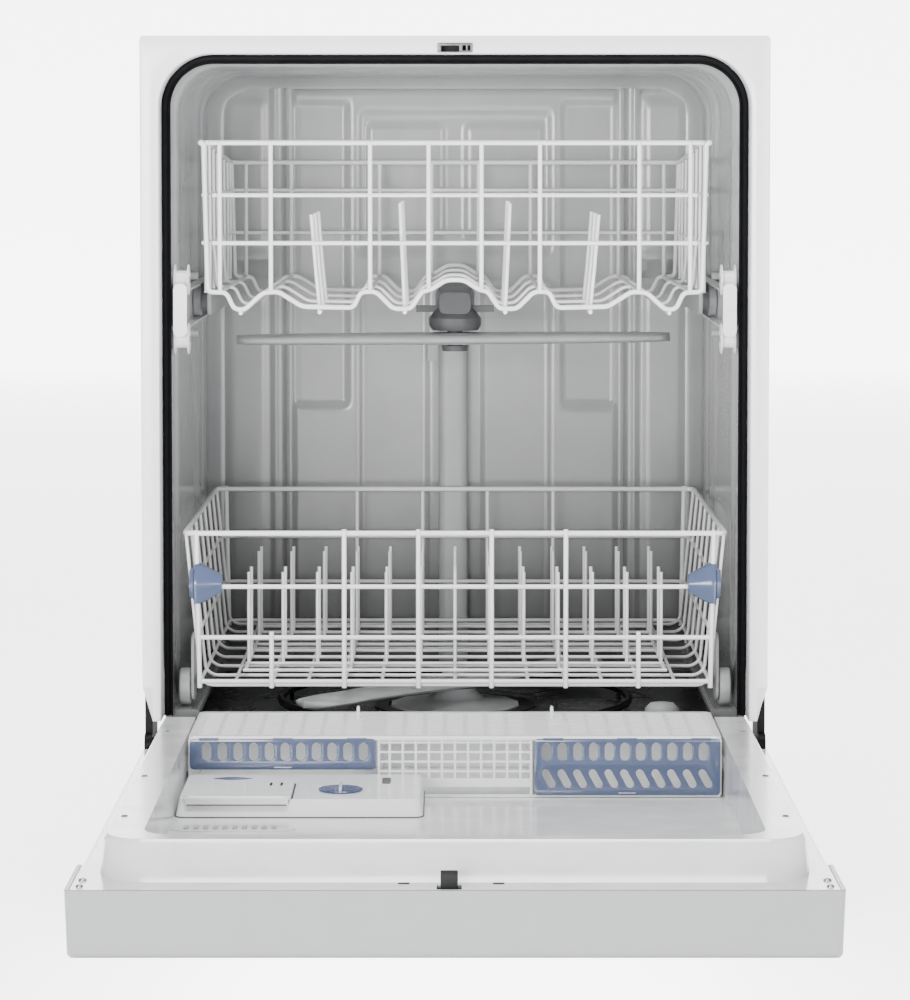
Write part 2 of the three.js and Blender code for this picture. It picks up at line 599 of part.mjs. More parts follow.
function outerPanel() {
  const skin = box(-DOOR_HALF, DOOR_HALF, CONSOLE_START + GAP, HINGE_CLEAR, DOOR_SKIN, DOOR_SKIN + 1.5);
  const tail = box(-283, 283, HINGE_CLEAR - 1, 40, DOOR_SKIN, DOOR_SKIN + 1.5);
  const sideReturn = box(DOOR_HALF - 1.5, DOOR_HALF, CONSOLE_START + GAP, HINGE_CLEAR, DOOR_SKIN, 179);
  const tailReturn = box(-283, 283, 38.5, 40, DOOR_SKIN, 140);
  return join(skin, tail, bothSides(sideReturn), tailReturn);
}

function consoleShell() {
  const end = DOOR_END;
  const outline = (half, far, radius) => rounded(-half, half, far, CONSOLE_START, [radius, radius, 0, 0], 3);
  const outer = loft('z', [
    [DOOR_SKIN, outline(HALF_WIDTH - 3.5, end + 3.5, 5)],
    [DOOR_SKIN + 2, outline(HALF_WIDTH - 1.8, end + 1.8, 6)],
    [DOOR_INNER + 0.3, outline(HALF_WIDTH, end, 6)],
  ]);
  const inner = box(-HALF_WIDTH + 4, HALF_WIDTH - 4, end + 3.6, CONSOLE_START - WALL, DOOR_SKIN + WALL, 190);
  const linerSeat = box(-HALF_WIDTH + 4, HALF_WIDTH - 4, end + 3.6, CONSOLE_START + 1, DOOR_INNER - 2.8, 190);
  const gripBlock = box(-118, 118, -650, -592, DOOR_SKIN + 1, 154);
  const grip = loft('z', [
    [DOOR_SKIN - 1, rounded(-112, 112, -642, -598, 10, 4)],
    [150, rounded(-108, 108, -644, -604, 10, 4)],
  ]);
  const buttonHoles = BUTTONS.map(({ x }) => rod('z', x, BUTTON_Y, 7.5, DOOR_SKIN - 1, DOOR_SKIN + 6, 16));
  return cut(join(cut(outer, inner, linerSeat), gripBlock), grip, buttonHoles);
}

const BUTTON_Y = -630;
const BUTTONS = [{ name: 'cycle_button', x: 190 }, { name: 'start_button', x: 240 }];

function button() {
  const face = DOOR_SKIN - 2.6;
  const inside = DOOR_SKIN + WALL + GAP;
  const profile = [[0, face], [6, face], [7, face + 1], [7, inside], [9.5, inside], [9.5, inside + 2],
    [0, inside + 2]];
  return turnedBody(0, 0, profile, 16);
}

// Outside (grow = 0) and underside (grow = thickness) of the raised ring, from above.
const ringOutline = (half, far, radius, near) => rounded(-half, half, far, near, [radius, radius, 0, 0], 5);

function doorLiner() {
  const under = 150;
  const near = -2;
  const ring = (inset, near) => loft('z', [
    [under - inset, ringOutline(RING_HALF - inset, -648 + inset, 40, near)],
    [DOOR_INNER, ringOutline(RING_HALF - inset, -648 + inset, 40, near)],
    [DOOR_INNER + 8 - inset, ringOutline(RING_HALF - 0.4 - inset, -638 + inset, 38, near)],
    [RING_TOP - 4 - inset, ringOutline(RING_HALF - 1.2 - inset, RING_FAR - 2 + inset, 34, near)],
    [RING_TOP - inset, ringOutline(RING_HALF - 4 - inset, RING_FAR + 3 + inset, 32, near)],
  ]);
  const recess = (inset) => join(
    loft('z', [
      [RECESS.floor - inset, rounded(-RECESS.half + 2 - inset, RECESS.half - 2 + inset, RECESS.far + 46 - inset, 10,
        [22, 22, 0, 0], 4)],
      [RING_TOP + 5, rounded(-RECESS.half - inset, RECESS.half + inset, RECESS.far - inset, 10, [26, 26, 0, 0], 4)],
    ]),
    box(-RECESS.half + 2 - inset, RECESS.half - 2 + inset, RECESS.deepFrom - inset, 10,
      RECESS.deepFloor - inset, RECESS.floor + 2),
  );
  const edge = join(
    box(-DOOR_HALF + 1.9, DOOR_HALF - 1.9, CONSOLE_START - 1, HINGE_CLEAR, DOOR_INNER - 2.5, DOOR_INNER),
    box(-HALF_WIDTH + 4.3, HALF_WIDTH - 4.3, DOOR_END + 4, CONSOLE_START, DOOR_INNER - 2.5, DOOR_INNER),
  );
  const shell = cut(cut(join(edge, ring(0, near)), recess(0)), cut(ring(WALL, near - WALL), recess(WALL)));
  const trimmed = cut(shell, box(-300, 300, -700, 10, 100, 153.8), consoleRoom());
  const dispenserHole = box(DISPENSER.x0 + 12, DISPENSER.x1 - 12, DISPENSER.front + 2, DISPENSER.back - 16, 150, 172);
  const latchHole = box(LATCH.x0 - 3, LATCH.x1 + 3, LATCH.y0 - 6, LATCH.y1 + 6, 160, 185);
  return cut(trimmed, dispenserHole, latchHole);
}

// Space inside the console that the liner's skirt must leave free.
const consoleRoom = () => box(-300, 300, -700, CONSOLE_START + 2.4, 100, DOOR_INNER - 2.6);

function dispenserBody() {
  const { x0, x1, back, front, top } = DISPENSER;
  const cover = loft('z', [
    [RECESS.floor + GAP, rounded(x0, x1, front - 9, back, 8, 3)],
    [top, rounded(x0 + 3, x1 - 3, front, back - 4, 8, 3)],
  ]);
  const tank = box(x0 + 13, x1 - 13, front + 3, back - 17, 138, RECESS.floor + 2);
  const cup = loft('z', [
    [144, rounded(CUP.x0 + 4, CUP.x1 - 4, CUP.y0 + 6, CUP.y1 - 4, 8, 3)],
    [top + 2, rounded(CUP.x0, CUP.x1, CUP.y0, CUP.y1, 8, 3)],
  ]);
  const filler = rod('z', RINSE.x, RINSE.y, 12, 150, top + 2, 16);
  return cut(join(cover, tank), cup, filler);
}

function dispenserLid() {
  const top = DISPENSER.top;
  const plate = loft('z', [
    [top + GAP, rounded(CUP.x0 - 4, CUP.x1 + 4, CUP.y0 - 8, CUP.y1 + 6, 5, 3)],
    [top + 3, rounded(CUP.x0 - 3, CUP.x1 + 3, CUP.y0 - 7, CUP.y1 + 5, 5, 3)],
  ]);
  const lip = box(CUP.x0 - 1, CUP.x1 + 1, CUP.y0 - 10.5, CUP.y0 - 8.2, top - 4, top + 1.5);
  const bridge = box(CUP.x0 - 1, CUP.x1 + 1, CUP.y0 - 10.5, CUP.y0 - 6, top + GAP, top + 1.8);
  return join(plate, lip, bridge);
}

function rinseCap() {
  const top = DISPENSER.top;
  const profile = [[0, top + GAP], [RINSE.radius, top + GAP], [RINSE.radius, top + 2.5], [RINSE.radius - 3, top + 4],
    [0, top + 4]];
  const grip = prism('z', [[-15, 0], [0, -4], [15, 0], [0, 4]], top + 3, top + 6.5);
  return join(turnedBody(0, 0, profile, 24), grip);
}

function cutleryBasket() {
  const { half, mouth, back, low, high } = BASKET;
  const t = 2.5;
  const shell = box(-half, half, mouth, back, low, high);
  const dividers = [-half, -70, 70, half];
  const rooms = [0, 1, 2].map((i) => box(dividers[i] + t, dividers[i + 1] - t, mouth - 5, back - t, low + t, high - t));
  const slots = Array.from({ length: 11 }, (_, i) => {
    const x = -220 + i * 44;
    return box(x - 14, x + 14, -120, -30, high - t - 1, high + 1);
  }).filter((_, i) => i !== 3 && i !== 7);
  return cut(shell, rooms, slots);
}

// Flap over one end of the basket's mouth, hanging from its top edge.
function basketLid(low) {
  const { half, mouth, high } = BASKET;
  const plate = prism('y', rounded(72, half - 1, low, high - 0.8, 4, 2), mouth - 2.8, mouth - GAP);
  const slots = Array.from({ length: 6 }, (_, i) => box(84 + i * 26, 96 + i * 26, mouth - 10, mouth + 5, 190, 204));
  return cut(plate, slots);
}

function doorLatch() {
  const hook = bentBar('x', [[LATCH.pivotY, 160], [LATCH.pivotY, LATCH.top - 3], [LATCH.pivotY - 1, LATCH.top]],
    5, LATCH.x0, LATCH.x1);
  const pin = rod('x', LATCH.pivotY, LATCH.pivotZ, 3.4, LATCH.x0 - 7, LATCH.x1 + 7, 12);
  return join(hook, pin);
}

function hingeArm() {
  const [low, high] = [284.5, 287.6];
  const boss = rod('x', 0, PIVOT_Z, 10, low, high, 12);
  const arm = prism('x', [[-7, 174], [-180, 150], [-180, 132], [-30, 132], [6, 176]], low, high);
  const pin = rod('x', 0, PIVOT_Z, PIN_RADIUS, low + 1, UPRIGHT.out - 0.5, 10);
  const cap = rod('x', 0, PIVOT_Z, 7, high - 1, high + 2.2, 10);
  return join(boss, arm, pin, cap);
}

piece('tub', tub(), TUB_GREY);
piece('tub_gasket', gasket(), BLACK);
piece('strike_plate', strikePlate(), STEEL);
piece('base_frame', baseFrame(), BLACK_STEEL);
for (const [end, y] of [['front', LEG.front], ['back', LEG.back]]) {
  piece(`leg_${end}_right`, leg(), GREY, { x: LEG.x, y });
  piece(`leg_${end}_left`, leg(), GREY, { x: -LEG.x, y });
}
piece('access_panel', accessPanel(), WHITE);
piece('sound_blanket', soundBlanket(), FELT);
piece('sump', sump(), DARK);
piece('sump_filter', sumpFilter(), GREY);
piece('wash_motor', washMotor(), DARK);
piece('drain_pump', drainPump(), DARK);
piece('inlet_valve', inletValve(), WHITE);
piece('fill_hose', fillHose(), BLACK);
piece('junction_box', junctionBox(), GREY);
piece('heating_element', heatingElement(), BLACK_STEEL);
piece('feed_tube', feedTube(), GREY);
for (const [side, sign] of [['right', 1], ['left', -1]]) {
  piece(`door_spring_${side}`, doorSpring(), STEEL, { x: sign * 270, y: 275, z: 80 });
  const x = sign * 264.6;
  piece(`track_wheel_upper_${side}`, trackWheel(), WHITE, { x, y: TRACK_STATION, z: TRACK_UPPER_Z });
  piece(`track_wheel_lower_${side}`, trackWheel(), WHITE, { x, y: TRACK_STATION, z: TRACK_LOWER_Z });
}
piece('float', floatDome(), GREY);
piece('lower_spray_arm', sprayArm(ARM_RADIUS, ARM_LOW, ARM_HIGH - 2), GREY, { y: SUMP_Y, turn: Math.PI / 4 });

piece('upper_rack_basket', upperBasket(), RACK_WHITE);
pair('upper_rail', upperRail(), WHITE);
pair('upper_rack_carrier', upperCarrier(), GREY);
piece('spray_manifold', sprayManifold(), DARK);
piece('mid_spray_arm', sprayArm(ARM_RADIUS + 3, MID_ARM.low, MID_ARM.high), GREY, { y: MID_ARM.y, turn: 0.09 });

piece('lower_rack_basket', lowerBasket(), RACK_WHITE);
piece('lower_rack_tines', lowerTines(), RACK_WHITE);
pair('corner_clip', cornerClip(), BLUE);
RACK_WHEEL_STATIONS.forEach((y, i) => {
  const end = ['front', 'back'][i];
  pair(`wheel_carrier_${end}`, wheelCarrier().translate([0, y, 0]), GREY);
  pair(`rack_wheel_${end}`, rackWheel().translate([263.8, y, RACK_WHEEL_Z]), WHITE);
});

piece('door_outer_panel', outerPanel(), WHITE);
piece('console', consoleShell(), SATIN);
for (const { name, x } of BUTTONS) piece(name, button(), GREY, { x, y: BUTTON_Y });
piece('door_liner', doorLiner(), WHITE);
piece('dispenser_body', dispenserBody(), WHITE);
piece('dispenser_lid', dispenserLid(), WHITE);
piece('rinse_cap', rinseCap(), NAVY, { x: RINSE.x, y: RINSE.y });
piece('cutlery_basket', cutleryBasket(), WHITE);
piece('basket_lid_right', basketLid(BASKET.low + 2), BLUE);
piece('basket_lid_left', mirrored(basketLid(DISPENSER.top + 2)), BLUE);
piece('door_latch', doorLatch(), BLACK);
pair('hinge_arm', hingeArm(), BLACK_STEEL);

group.position.y = -(TUB_BACK + DOOR_END) / 2;

export default group;
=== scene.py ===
"""Looks of the built-in dishwasher: fine shells, wire racks, seals and procedural materials
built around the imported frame. Lengths are written in millimetres and turned into metres."""

import json
import math

import bmesh
import bpy
from mathutils import Matrix, Vector


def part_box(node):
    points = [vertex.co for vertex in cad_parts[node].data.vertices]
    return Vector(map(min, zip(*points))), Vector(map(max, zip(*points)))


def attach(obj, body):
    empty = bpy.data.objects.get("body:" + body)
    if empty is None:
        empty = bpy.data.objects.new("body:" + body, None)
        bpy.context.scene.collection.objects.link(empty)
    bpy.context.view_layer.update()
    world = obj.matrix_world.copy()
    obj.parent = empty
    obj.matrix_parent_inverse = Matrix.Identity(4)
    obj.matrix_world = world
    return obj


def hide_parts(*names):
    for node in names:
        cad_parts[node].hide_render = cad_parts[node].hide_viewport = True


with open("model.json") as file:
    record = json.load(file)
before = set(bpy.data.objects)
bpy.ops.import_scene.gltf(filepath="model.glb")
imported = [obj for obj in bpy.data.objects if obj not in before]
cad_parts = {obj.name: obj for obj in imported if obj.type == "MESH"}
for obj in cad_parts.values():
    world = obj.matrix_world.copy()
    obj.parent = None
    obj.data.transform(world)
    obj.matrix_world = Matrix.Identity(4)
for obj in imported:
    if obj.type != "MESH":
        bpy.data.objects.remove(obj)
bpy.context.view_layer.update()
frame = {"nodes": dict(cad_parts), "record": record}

MM = 0.001
TAU = math.tau
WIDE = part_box("tub")[1].x / MM            # half width of the tub flange
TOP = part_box("tub")[1].z / MM
SIDES = (("right", 1), ("left", -1))
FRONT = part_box("tub")[0].y / MM           # the tub's front plane; y below is measured from it
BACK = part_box("tub")[1].y / MM - FRONT
LEDGE_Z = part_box("door_liner")[1].z / MM  # wheel track: tub ledges and liner ring are level

# -------- mesh building


class Shape:
    """Vertices in millimetres from the tub's front plane, and faces, for one piece."""

    def __init__(self):
        self.verts = []
        self.faces = []

    def add(self, verts, faces):
        base = len(self.verts)
        self.verts += [tuple(v) for v in verts]
        self.faces += [tuple(base + i for i in face) for face in faces]
        return self

    def box(self, x0, x1, y0, y1, z0, z1):
        corners = [(x, y, z) for z in (z0, z1) for y in (y0, y1) for x in (x0, x1)]
        quads = [(0, 2, 3, 1), (4, 5, 7, 6), (0, 1, 5, 4), (2, 6, 7, 3), (0, 4, 6, 2), (1, 3, 7, 5)]
        return self.add(corners, quads)

    def rows(self, rows, closed=False, capped=False):
        """A sheet through rows of equal length; closed joins each row's ends, capped fills both end rows."""
        count = len(rows[0])
        span = count if closed else count - 1
        faces = []
        for r in range(len(rows) - 1):
            for i in range(span):
                j = (i + 1) % count
                faces.append((r * count + i, r * count + j, (r + 1) * count + j, (r + 1) * count + i))
        if capped:
            faces.append(tuple(reversed(range(count))))
            faces.append(tuple(range((len(rows) - 1) * count, len(rows) * count)))
        return self.add([p for row in rows for p in row], faces)

    def solid(self, rows):
        """A closed body through closed rows."""
        return self.rows(rows, closed=True, capped=True)

    def sleeve(self, rows):
        """A thick open band: the rows run round its section, and both its ends are filled."""
        self.rows(rows + [rows[0]])
        for end in (0, len(rows[0]) - 1):
            self.add([row[end] for row in rows], [tuple(range(len(rows)))])
        return self

    def prism(self, outline, z0, z1):
        """An upright block over an outline."""
        return self.solid([[(x, y, z) for x, y in outline] for z in (z0, z1)])

    def slab(self, x, y, half_x, half_y, z0, z1):
        """A small upright block with round corners."""
        corner = 0.8 * min(half_x, half_y)
        return self.prism(rounded(x - half_x, x + half_x, y - half_y, y + half_y, corner, 4), z0, z1)

    def capsule(self, x, y, half_length, half_width, z0, z1):
        """A flat pill lying along x."""
        right = arc(x + half_length, y, half_width, -0.25, 0.25, 6)
        left = arc(x - half_length, y, half_width, 0.25, 0.75, 6)
        return self.prism(right + left, z0, z1)

    def tube(self, points, radius, closed=False, sides=8):
        """A round wire through the points, with flat ends unless closed."""
        points = [Vector(p) for p in points]
        count = len(points)
        rings = []
        across = None
        for i, p in enumerate(points):
            before = points[i - 1] if (i or closed) else p
            after = points[(i + 1) % count] if (i < count - 1 or closed) else p
            along = (after - before).normalized()
            across = across or along.orthogonal().normalized()
            across = (across - along * across.dot(along)).normalized()
            beside = along.cross(across)
            turns = [TAU * k / sides for k in range(sides)]
            rings.append([p + radius * (math.cos(t) * across + math.sin(t) * beside) for t in turns])
        if not closed:
            return self.solid(rings)
        # the frame may have turned on the way round, so the last ring meets the first with a shift
        shift = min(range(sides), key=lambda k: (rings[-1][k] - rings[0][0]).length)
        base = len(self.verts)
        last = base + (count - 1) * sides
        self.rows(rings, closed=True)
        for k in range(sides):
            j = (k + 1) % sides
            self.faces.append((last + (k + shift) % sides, last + (j + shift) % sides, base + j, base + k))
        return self

    def ring(self, x, y, z, radius, wire, steps):
        """A level hoop of wire."""
        turns = [TAU * k / steps for k in range(steps)]
        hoop = [(x + radius * math.cos(t), y + radius * math.sin(t), z) for t in turns]
        return self.tube(hoop, wire, closed=True)

    def turned(self, x, y, profile, sides=32, axis="z"):
        """A body of revolution about a line through (x, y), or (y, z) where the axis is x; profile is
        (radius, height) pairs."""
        rows = []
        for radius, height in profile:
            ring = []
            for k in range(sides):
                a = x + radius * math.cos(TAU * k / sides)
                b = y + radius * math.sin(TAU * k / sides)
                ring.append((a, b, height) if axis == "z" else (height, a, b))
            rows.append(ring)
        return self.solid(rows)

    def moved(self, matrix):
        self.verts = [tuple(matrix @ Vector(v)) for v in self.verts]
        return self


def weld(mesh, distance):
    """Joins doubled corners and turns the faces outwards."""
    bm = bmesh.new()
    bm.from_mesh(mesh)
    bmesh.ops.remove_doubles(bm, verts=bm.verts, dist=distance)
    bmesh.ops.recalc_face_normals(bm, faces=bm.faces)
    bm.to_mesh(mesh)
    bm.free()


def linked(name, data):
    """A new object in the scene."""
    thing = bpy.data.objects.new(name, data)
    bpy.context.scene.collection.objects.link(thing)
    return thing


def make(name, shape, body, material, replaces=(), sharp=35, bevel=0.0):
    """Turns a Shape into a piece that rides on a body."""
    mesh = bpy.data.meshes.new(name)
    verts = [(x * MM, (y + FRONT) * MM, z * MM) for x, y, z in shape.verts]
    mesh.from_pydata(verts, [], shape.faces)
    piece = settle(linked(name, mesh), body, material, replaces, sharp)
    if bevel:
        edge = piece.modifiers.new("edge", "BEVEL")
        edge.width = bevel * MM
        edge.segments = 2
        edge.limit_method = "ANGLE"
        edge.angle_limit = math.radians(40)
        edge.harden_normals = True
    return piece


def settle(piece, body, material, replaces, sharp):
    """Cleans the mesh, gives it its material, ties it to its body and hides the CAD nodes it replaces."""
    weld(piece.data, 0.02 * MM)
    piece.data.shade_smooth()
    piece.data.set_sharp_from_angle(angle=math.radians(sharp))
    piece.data.materials.clear()
    piece.data.materials.append(material)
    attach(piece, body)
    if replaces:
        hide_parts(*replaces)
    return piece


def carved(shape, *limits):
    """The shape less a box with these limits."""
    solids = []
    for part in (shape, Shape().box(*limits)):
        mesh = bpy.data.meshes.new("carving")
        mesh.from_pydata(part.verts, [], part.faces)
        weld(mesh, 0.01)
        solids.append(linked("carving", mesh))
    body, tool = solids
    cut = body.modifiers.new("cut", "BOOLEAN")
    cut.operation = "DIFFERENCE"
    cut.solver = "EXACT"
    cut.object = tool
    bpy.context.view_layer.update()
    result = bpy.data.meshes.new_from_object(body.evaluated_get(bpy.context.evaluated_depsgraph_get()))
    left = Shape().add([v.co for v in result.vertices], [tuple(face.vertices) for face in result.polygons])
    for solid in solids:
        mesh = solid.data
        bpy.data.objects.remove(solid)
        bpy.data.meshes.remove(mesh)
    bpy.data.meshes.remove(result)
    return left


def plate(name, outline, holes, thickness, place, body, material, replaces=(), edge=0.3):
    """A flat plate with holes: outlines in its own plane, placed by a matrix; soft edges."""
    curve = bpy.data.curves.new(name, "CURVE")
    curve.dimensions = "2D"
    curve.fill_mode = "BOTH"
    curve.extrude = (thickness / 2 - edge) * MM
    curve.bevel_depth = edge * MM
    curve.bevel_resolution = 1
    curve.offset = -edge * MM
    for loop in [outline, *holes]:
        spline = curve.splines.new("POLY")
        spline.points.add(len(loop) - 1)
        for point, (a, b) in zip(spline.points, loop):
            point.co = (a * MM, b * MM, 0, 1)
        spline.use_cyclic_u = True
    source = linked(name + "_outline", curve)
    bpy.context.view_layer.update()
    mesh = bpy.data.meshes.new_from_object(source.evaluated_get(bpy.context.evaluated_depsgraph_get()))
    mesh.name = name
    bpy.data.objects.remove(source)
    bpy.data.curves.remove(curve)
    scaled = place.copy()
    scaled.translation = (place.translation + Vector((0, FRONT, 0))) * MM
    mesh.transform(scaled)
    return settle(linked(name, mesh), body, material, replaces, sharp=30)


def upright(y, z=0):
    """Stands a plate up to face the camera, its own second axis pointing up."""
    stand = Matrix.Rotation(math.pi / 2, 4, "X")
    stand.translation = (0, y, z)
    return stand


def filleted(points, radius, steps=5, closed=False):
    """The same path with its corners rounded."""
    points = [Vector(p) for p in points]
    count = len(points)
    path = []
    for i, p in enumerate(points):
        if not closed and i in (0, count - 1):
            path.append(p)
            continue
        before, after = points[i - 1], points[(i + 1) % count]
        reach = min(radius, (before - p).length * 0.45, (after - p).length * 0.45)
        start = p + (before - p).normalized() * reach
        end = p + (after - p).normalized() * reach
        for k in range(steps + 1):
            t = k / steps
            path.append((1 - t) ** 2 * start + 2 * t * (1 - t) * p + t * t * end)
    return path


def arc(a, b, radius, start, end, steps):
    """Points of an arc in a plane, angles in turns."""
    turns = [TAU * (start + (end - start) * k / steps) for k in range(steps + 1)]
    return [(a + radius * math.cos(t), b + radius * math.sin(t)) for t in turns]


def rounded(a0, a1, b0, b1, radius, steps=6):
    """A rectangle with round corners, anticlockwise."""
    corners = [(a0, b0, 1, 1, 0.5), (a1, b0, -1, 1, 0.75), (a1, b1, -1, -1, 0.0), (a0, b1, 1, -1, 0.25)]
    loop = []
    for a, b, da, db, start in corners:
        loop += arc(a + da * radius, b + db * radius, radius, start, start + 0.25, steps)
    return loop


def spread(start, end, count):
    return [start + (end - start) * k / (count - 1) for k in range(count)]


def arch(half, low, high, radius, y, sides=18, corner=12, top=24, floor=0):
    """The tub's section at depth y: up the left wall, over the top, down the right; then the floor."""
    row = [(-half, z) for z in spread(low, high - radius, sides)][:-1]
    row += arc(-half + radius, high - radius, radius, 0.5, 0.25, corner)[:-1]
    row += [(x, high) for x in spread(-half + radius, half - radius, top)][:-1]
    row += arc(half - radius, high - radius, radius, 0.25, 0.0, corner)[:-1]
    row += [(half, z) for z in spread(high - radius, low, sides)]
    if floor:
        row += [(x, low) for x in spread(half, -half, floor)][1:-1]
    return [(x, y, z) for x, z in row]


def smoothstep(edge0, edge1, value):
    t = min(1.0, max(0.0, (value - edge0) / (edge1 - edge0)))
    return t * t * (3 - 2 * t)


def inside(a, low, high, soft=2.5):
    """1 between low and high, 0 outside, with soft shoulders."""
    return smoothstep(low - soft, low + soft, a) * (1 - smoothstep(high - soft, high + soft, a))


# -------- materials

PAINTED_SHADE_Z = (0.20, 0.62)  # heights in metres between which the painted shade fades out


def surface(name, color, rough, metallic=0.0, vary=0.03, vary_size=25, rough_vary=0.05,
            bump=0.05, bump_size=0.6, stretch=(1, 1, 1), coat=0.0, coat_rough=0.1, clear=0.0, sheen=0.0,
            shine=0.5, painted_shade=0.0):
    """A principled material whose colour, roughness and relief come from noise in the object's space.
    Sizes are in millimetres; stretch above 1 squeezes the grain along that axis; the painted shade share
    darkens the colour by that share towards the machine's floor, standing in for the lower tank's shadow."""
    material = bpy.data.materials.new(name)
    material.use_nodes = True
    nodes, links = material.node_tree.nodes, material.node_tree.links
    shader = nodes["Principled BSDF"]
    uniform = {"Metallic": metallic, "Coat Weight": coat, "Coat Roughness": coat_rough,
               "Transmission Weight": clear, "Sheen Weight": sheen, "Specular IOR Level": shine}
    for socket, value in uniform.items():
        shader.inputs[socket].default_value = value
    place = nodes.new("ShaderNodeTexCoord")
    grain = nodes.new("ShaderNodeMapping")
    grain.inputs["Scale"].default_value = stretch
    links.new(place.outputs["Object"], grain.inputs["Vector"])

    def noise(size, detail):
        node = nodes.new("ShaderNodeTexNoise")
        node.inputs["Scale"].default_value = 1 / (size * MM)
        node.inputs["Detail"].default_value = detail
        links.new(grain.outputs["Vector"], node.inputs["Vector"])
        return node

    def mapped(source, low, high, start=0.0, end=1.0):
        node = nodes.new("ShaderNodeMapRange")
        for socket, value in zip(("From Min", "From Max", "To Min", "To Max"), (start, end, low, high)):
            node.inputs[socket].default_value = value
        links.new(source, node.inputs["Value"])
        return node.outputs["Result"]

    cloud = noise(vary_size, 4)
    tint = nodes.new("ShaderNodeValToRGB")
    tint.color_ramp.elements[0].position = 0.3
    tint.color_ramp.elements[1].position = 0.7
    tint.color_ramp.elements[0].color = [c * (1 - vary) for c in color] + [1]
    tint.color_ramp.elements[1].color = [min(1, c * (1 + vary)) for c in color] + [1]
    links.new(cloud.outputs["Fac"], tint.inputs["Fac"])
    # painted shade: darkens the colour towards the floor in place of the lower tank's shadow
    if painted_shade:
        height = nodes.new("ShaderNodeSeparateXYZ")
        links.new(place.outputs["Object"], height.inputs["Vector"])
        shade_mix = nodes.new("ShaderNodeMix")
        shade_mix.data_type = "RGBA"
        shade_mix.blend_type = "MULTIPLY"
        shade_mix.inputs[0].default_value = 1
        links.new(tint.outputs["Color"], shade_mix.inputs[6])
        links.new(mapped(height.outputs["Z"], 1 - painted_shade, 1, *PAINTED_SHADE_Z), shade_mix.inputs[7])
        links.new(shade_mix.outputs[2], shader.inputs["Base Color"])
    else:
        links.new(tint.outputs["Color"], shader.inputs["Base Color"])
    rub = mapped(cloud.outputs["Fac"], max(0.02, rough - rough_vary), rough + rough_vary)
    links.new(rub, shader.inputs["Roughness"])
    fine = noise(bump_size, 3)
    relief = nodes.new("ShaderNodeBump")
    relief.inputs["Strength"].default_value = bump
    relief.inputs["Distance"].default_value = 0.4 * MM
    links.new(fine.outputs["Fac"], relief.inputs["Height"])
    links.new(relief.outputs["Normal"], shader.inputs["Normal"])
    return material


# white baked enamel on steel: smooth, with faint orange peel
WHITE = surface("white_enamel", (0.83, 0.835, 0.84), 0.26, vary=0.01, bump=0.06, bump_size=1.6, coat=0.3)
# grey-white filled polypropylene, clouded by water, with painted shade darkening it towards the floor
TUB = surface("tub_plastic", (0.44, 0.445, 0.45), 0.20, vary=0.05, vary_size=60, rough_vary=0.06,
              bump=0.03, bump_size=2.2, coat=0.25, coat_rough=0.2, painted_shade=0.62)
# the door's white inner moulding, glossy with soft water marks
LINER = surface("white_plastic", (0.76, 0.765, 0.77), 0.20, vary=0.06, vary_size=38, rough_vary=0.12,
                bump=0.22, bump_size=6.0, coat=0.35, coat_rough=0.12)
# satin console moulding with a fine texture
CONSOLE = surface("console_plastic", (0.27, 0.275, 0.28), 0.30, vary=0.012, bump=0.12, bump_size=0.45)
# thick nylon dip over wire: white, rounded, a little uneven
RACK = surface("rack_coating", (0.88, 0.885, 0.88), 0.30, vary=0.02, vary_size=18, bump=0.10,
               bump_size=1.4, coat=0.3)
GREY = surface("grey_plastic", (0.40, 0.405, 0.41), 0.42, vary=0.05, bump=0.14, bump_size=0.5)
DARK = surface("dark_plastic", (0.014, 0.014, 0.015), 0.45, vary=0.08, bump=0.1, shine=0.2)
# black EPDM seal, matte with fine drag lines
RUBBER = surface("seal_rubber", (0.006, 0.006, 0.007), 0.6, vary=0.15, vary_size=12, bump=0.2,
                 bump_size=0.4, shine=0.05)
# plain drawn steel, brushed along its length
STEEL = surface("steel", (0.42, 0.425, 0.43), 0.28, metallic=1.0, vary=0.04, bump=0.10, bump_size=0.5,
                stretch=(1, 14, 1))
# pressed strike steel, darkened and rubbed
STRIKE = surface("strike_steel", (0.13, 0.132, 0.135), 0.38, metallic=1.0, vary=0.25, vary_size=4,
                 bump=0.15, bump_size=0.5)
# black e-coated steel
BLACK = surface("black_steel", (0.006, 0.006, 0.007), 0.4, vary=0.12, bump=0.1, bump_size=0.9, shine=0.08)
# cast motor housing under dark paint
MOTOR = surface("motor_housing", (0.10, 0.105, 0.11), 0.5, metallic=0.7, vary=0.08, bump=0.2,
                bump_size=1.0)
# translucent blue moulding
BLUE = surface("blue_plastic", (0.085, 0.115, 0.215), 0.24, vary=0.05, vary_size=15, bump=0.06,
               bump_size=1.2, coat=0.4, clear=0.12)
NAVY = surface("navy_plastic", (0.035, 0.055, 0.16), 0.25, vary=0.05, bump=0.05, coat=0.3)
# bitumen-backed sound blanket: grey needled felt
FELT = surface("felt", (0.09, 0.095, 0.10), 0.95, vary=0.25, vary_size=3, rough_vary=0.03, bump=0.9,
               bump_size=0.9, sheen=0.4)
# mid-dark glass-filled nylon of the spray feed
CHARCOAL = surface("charcoal_plastic", (0.07, 0.072, 0.075), 0.4, vary=0.08, bump=0.1, bump_size=0.7,
                   shine=0.3)
# bright white moulding of the dispenser and the cutlery basket: partly their own whiter plastic, partly
# painted light lifting their shaded faces and the basket's inside
BRIGHT = surface("bright_plastic", (0.93, 0.935, 0.94), 0.25, vary=0.012, vary_size=30, bump=0.04,
                 bump_size=2.0, coat=0.3)
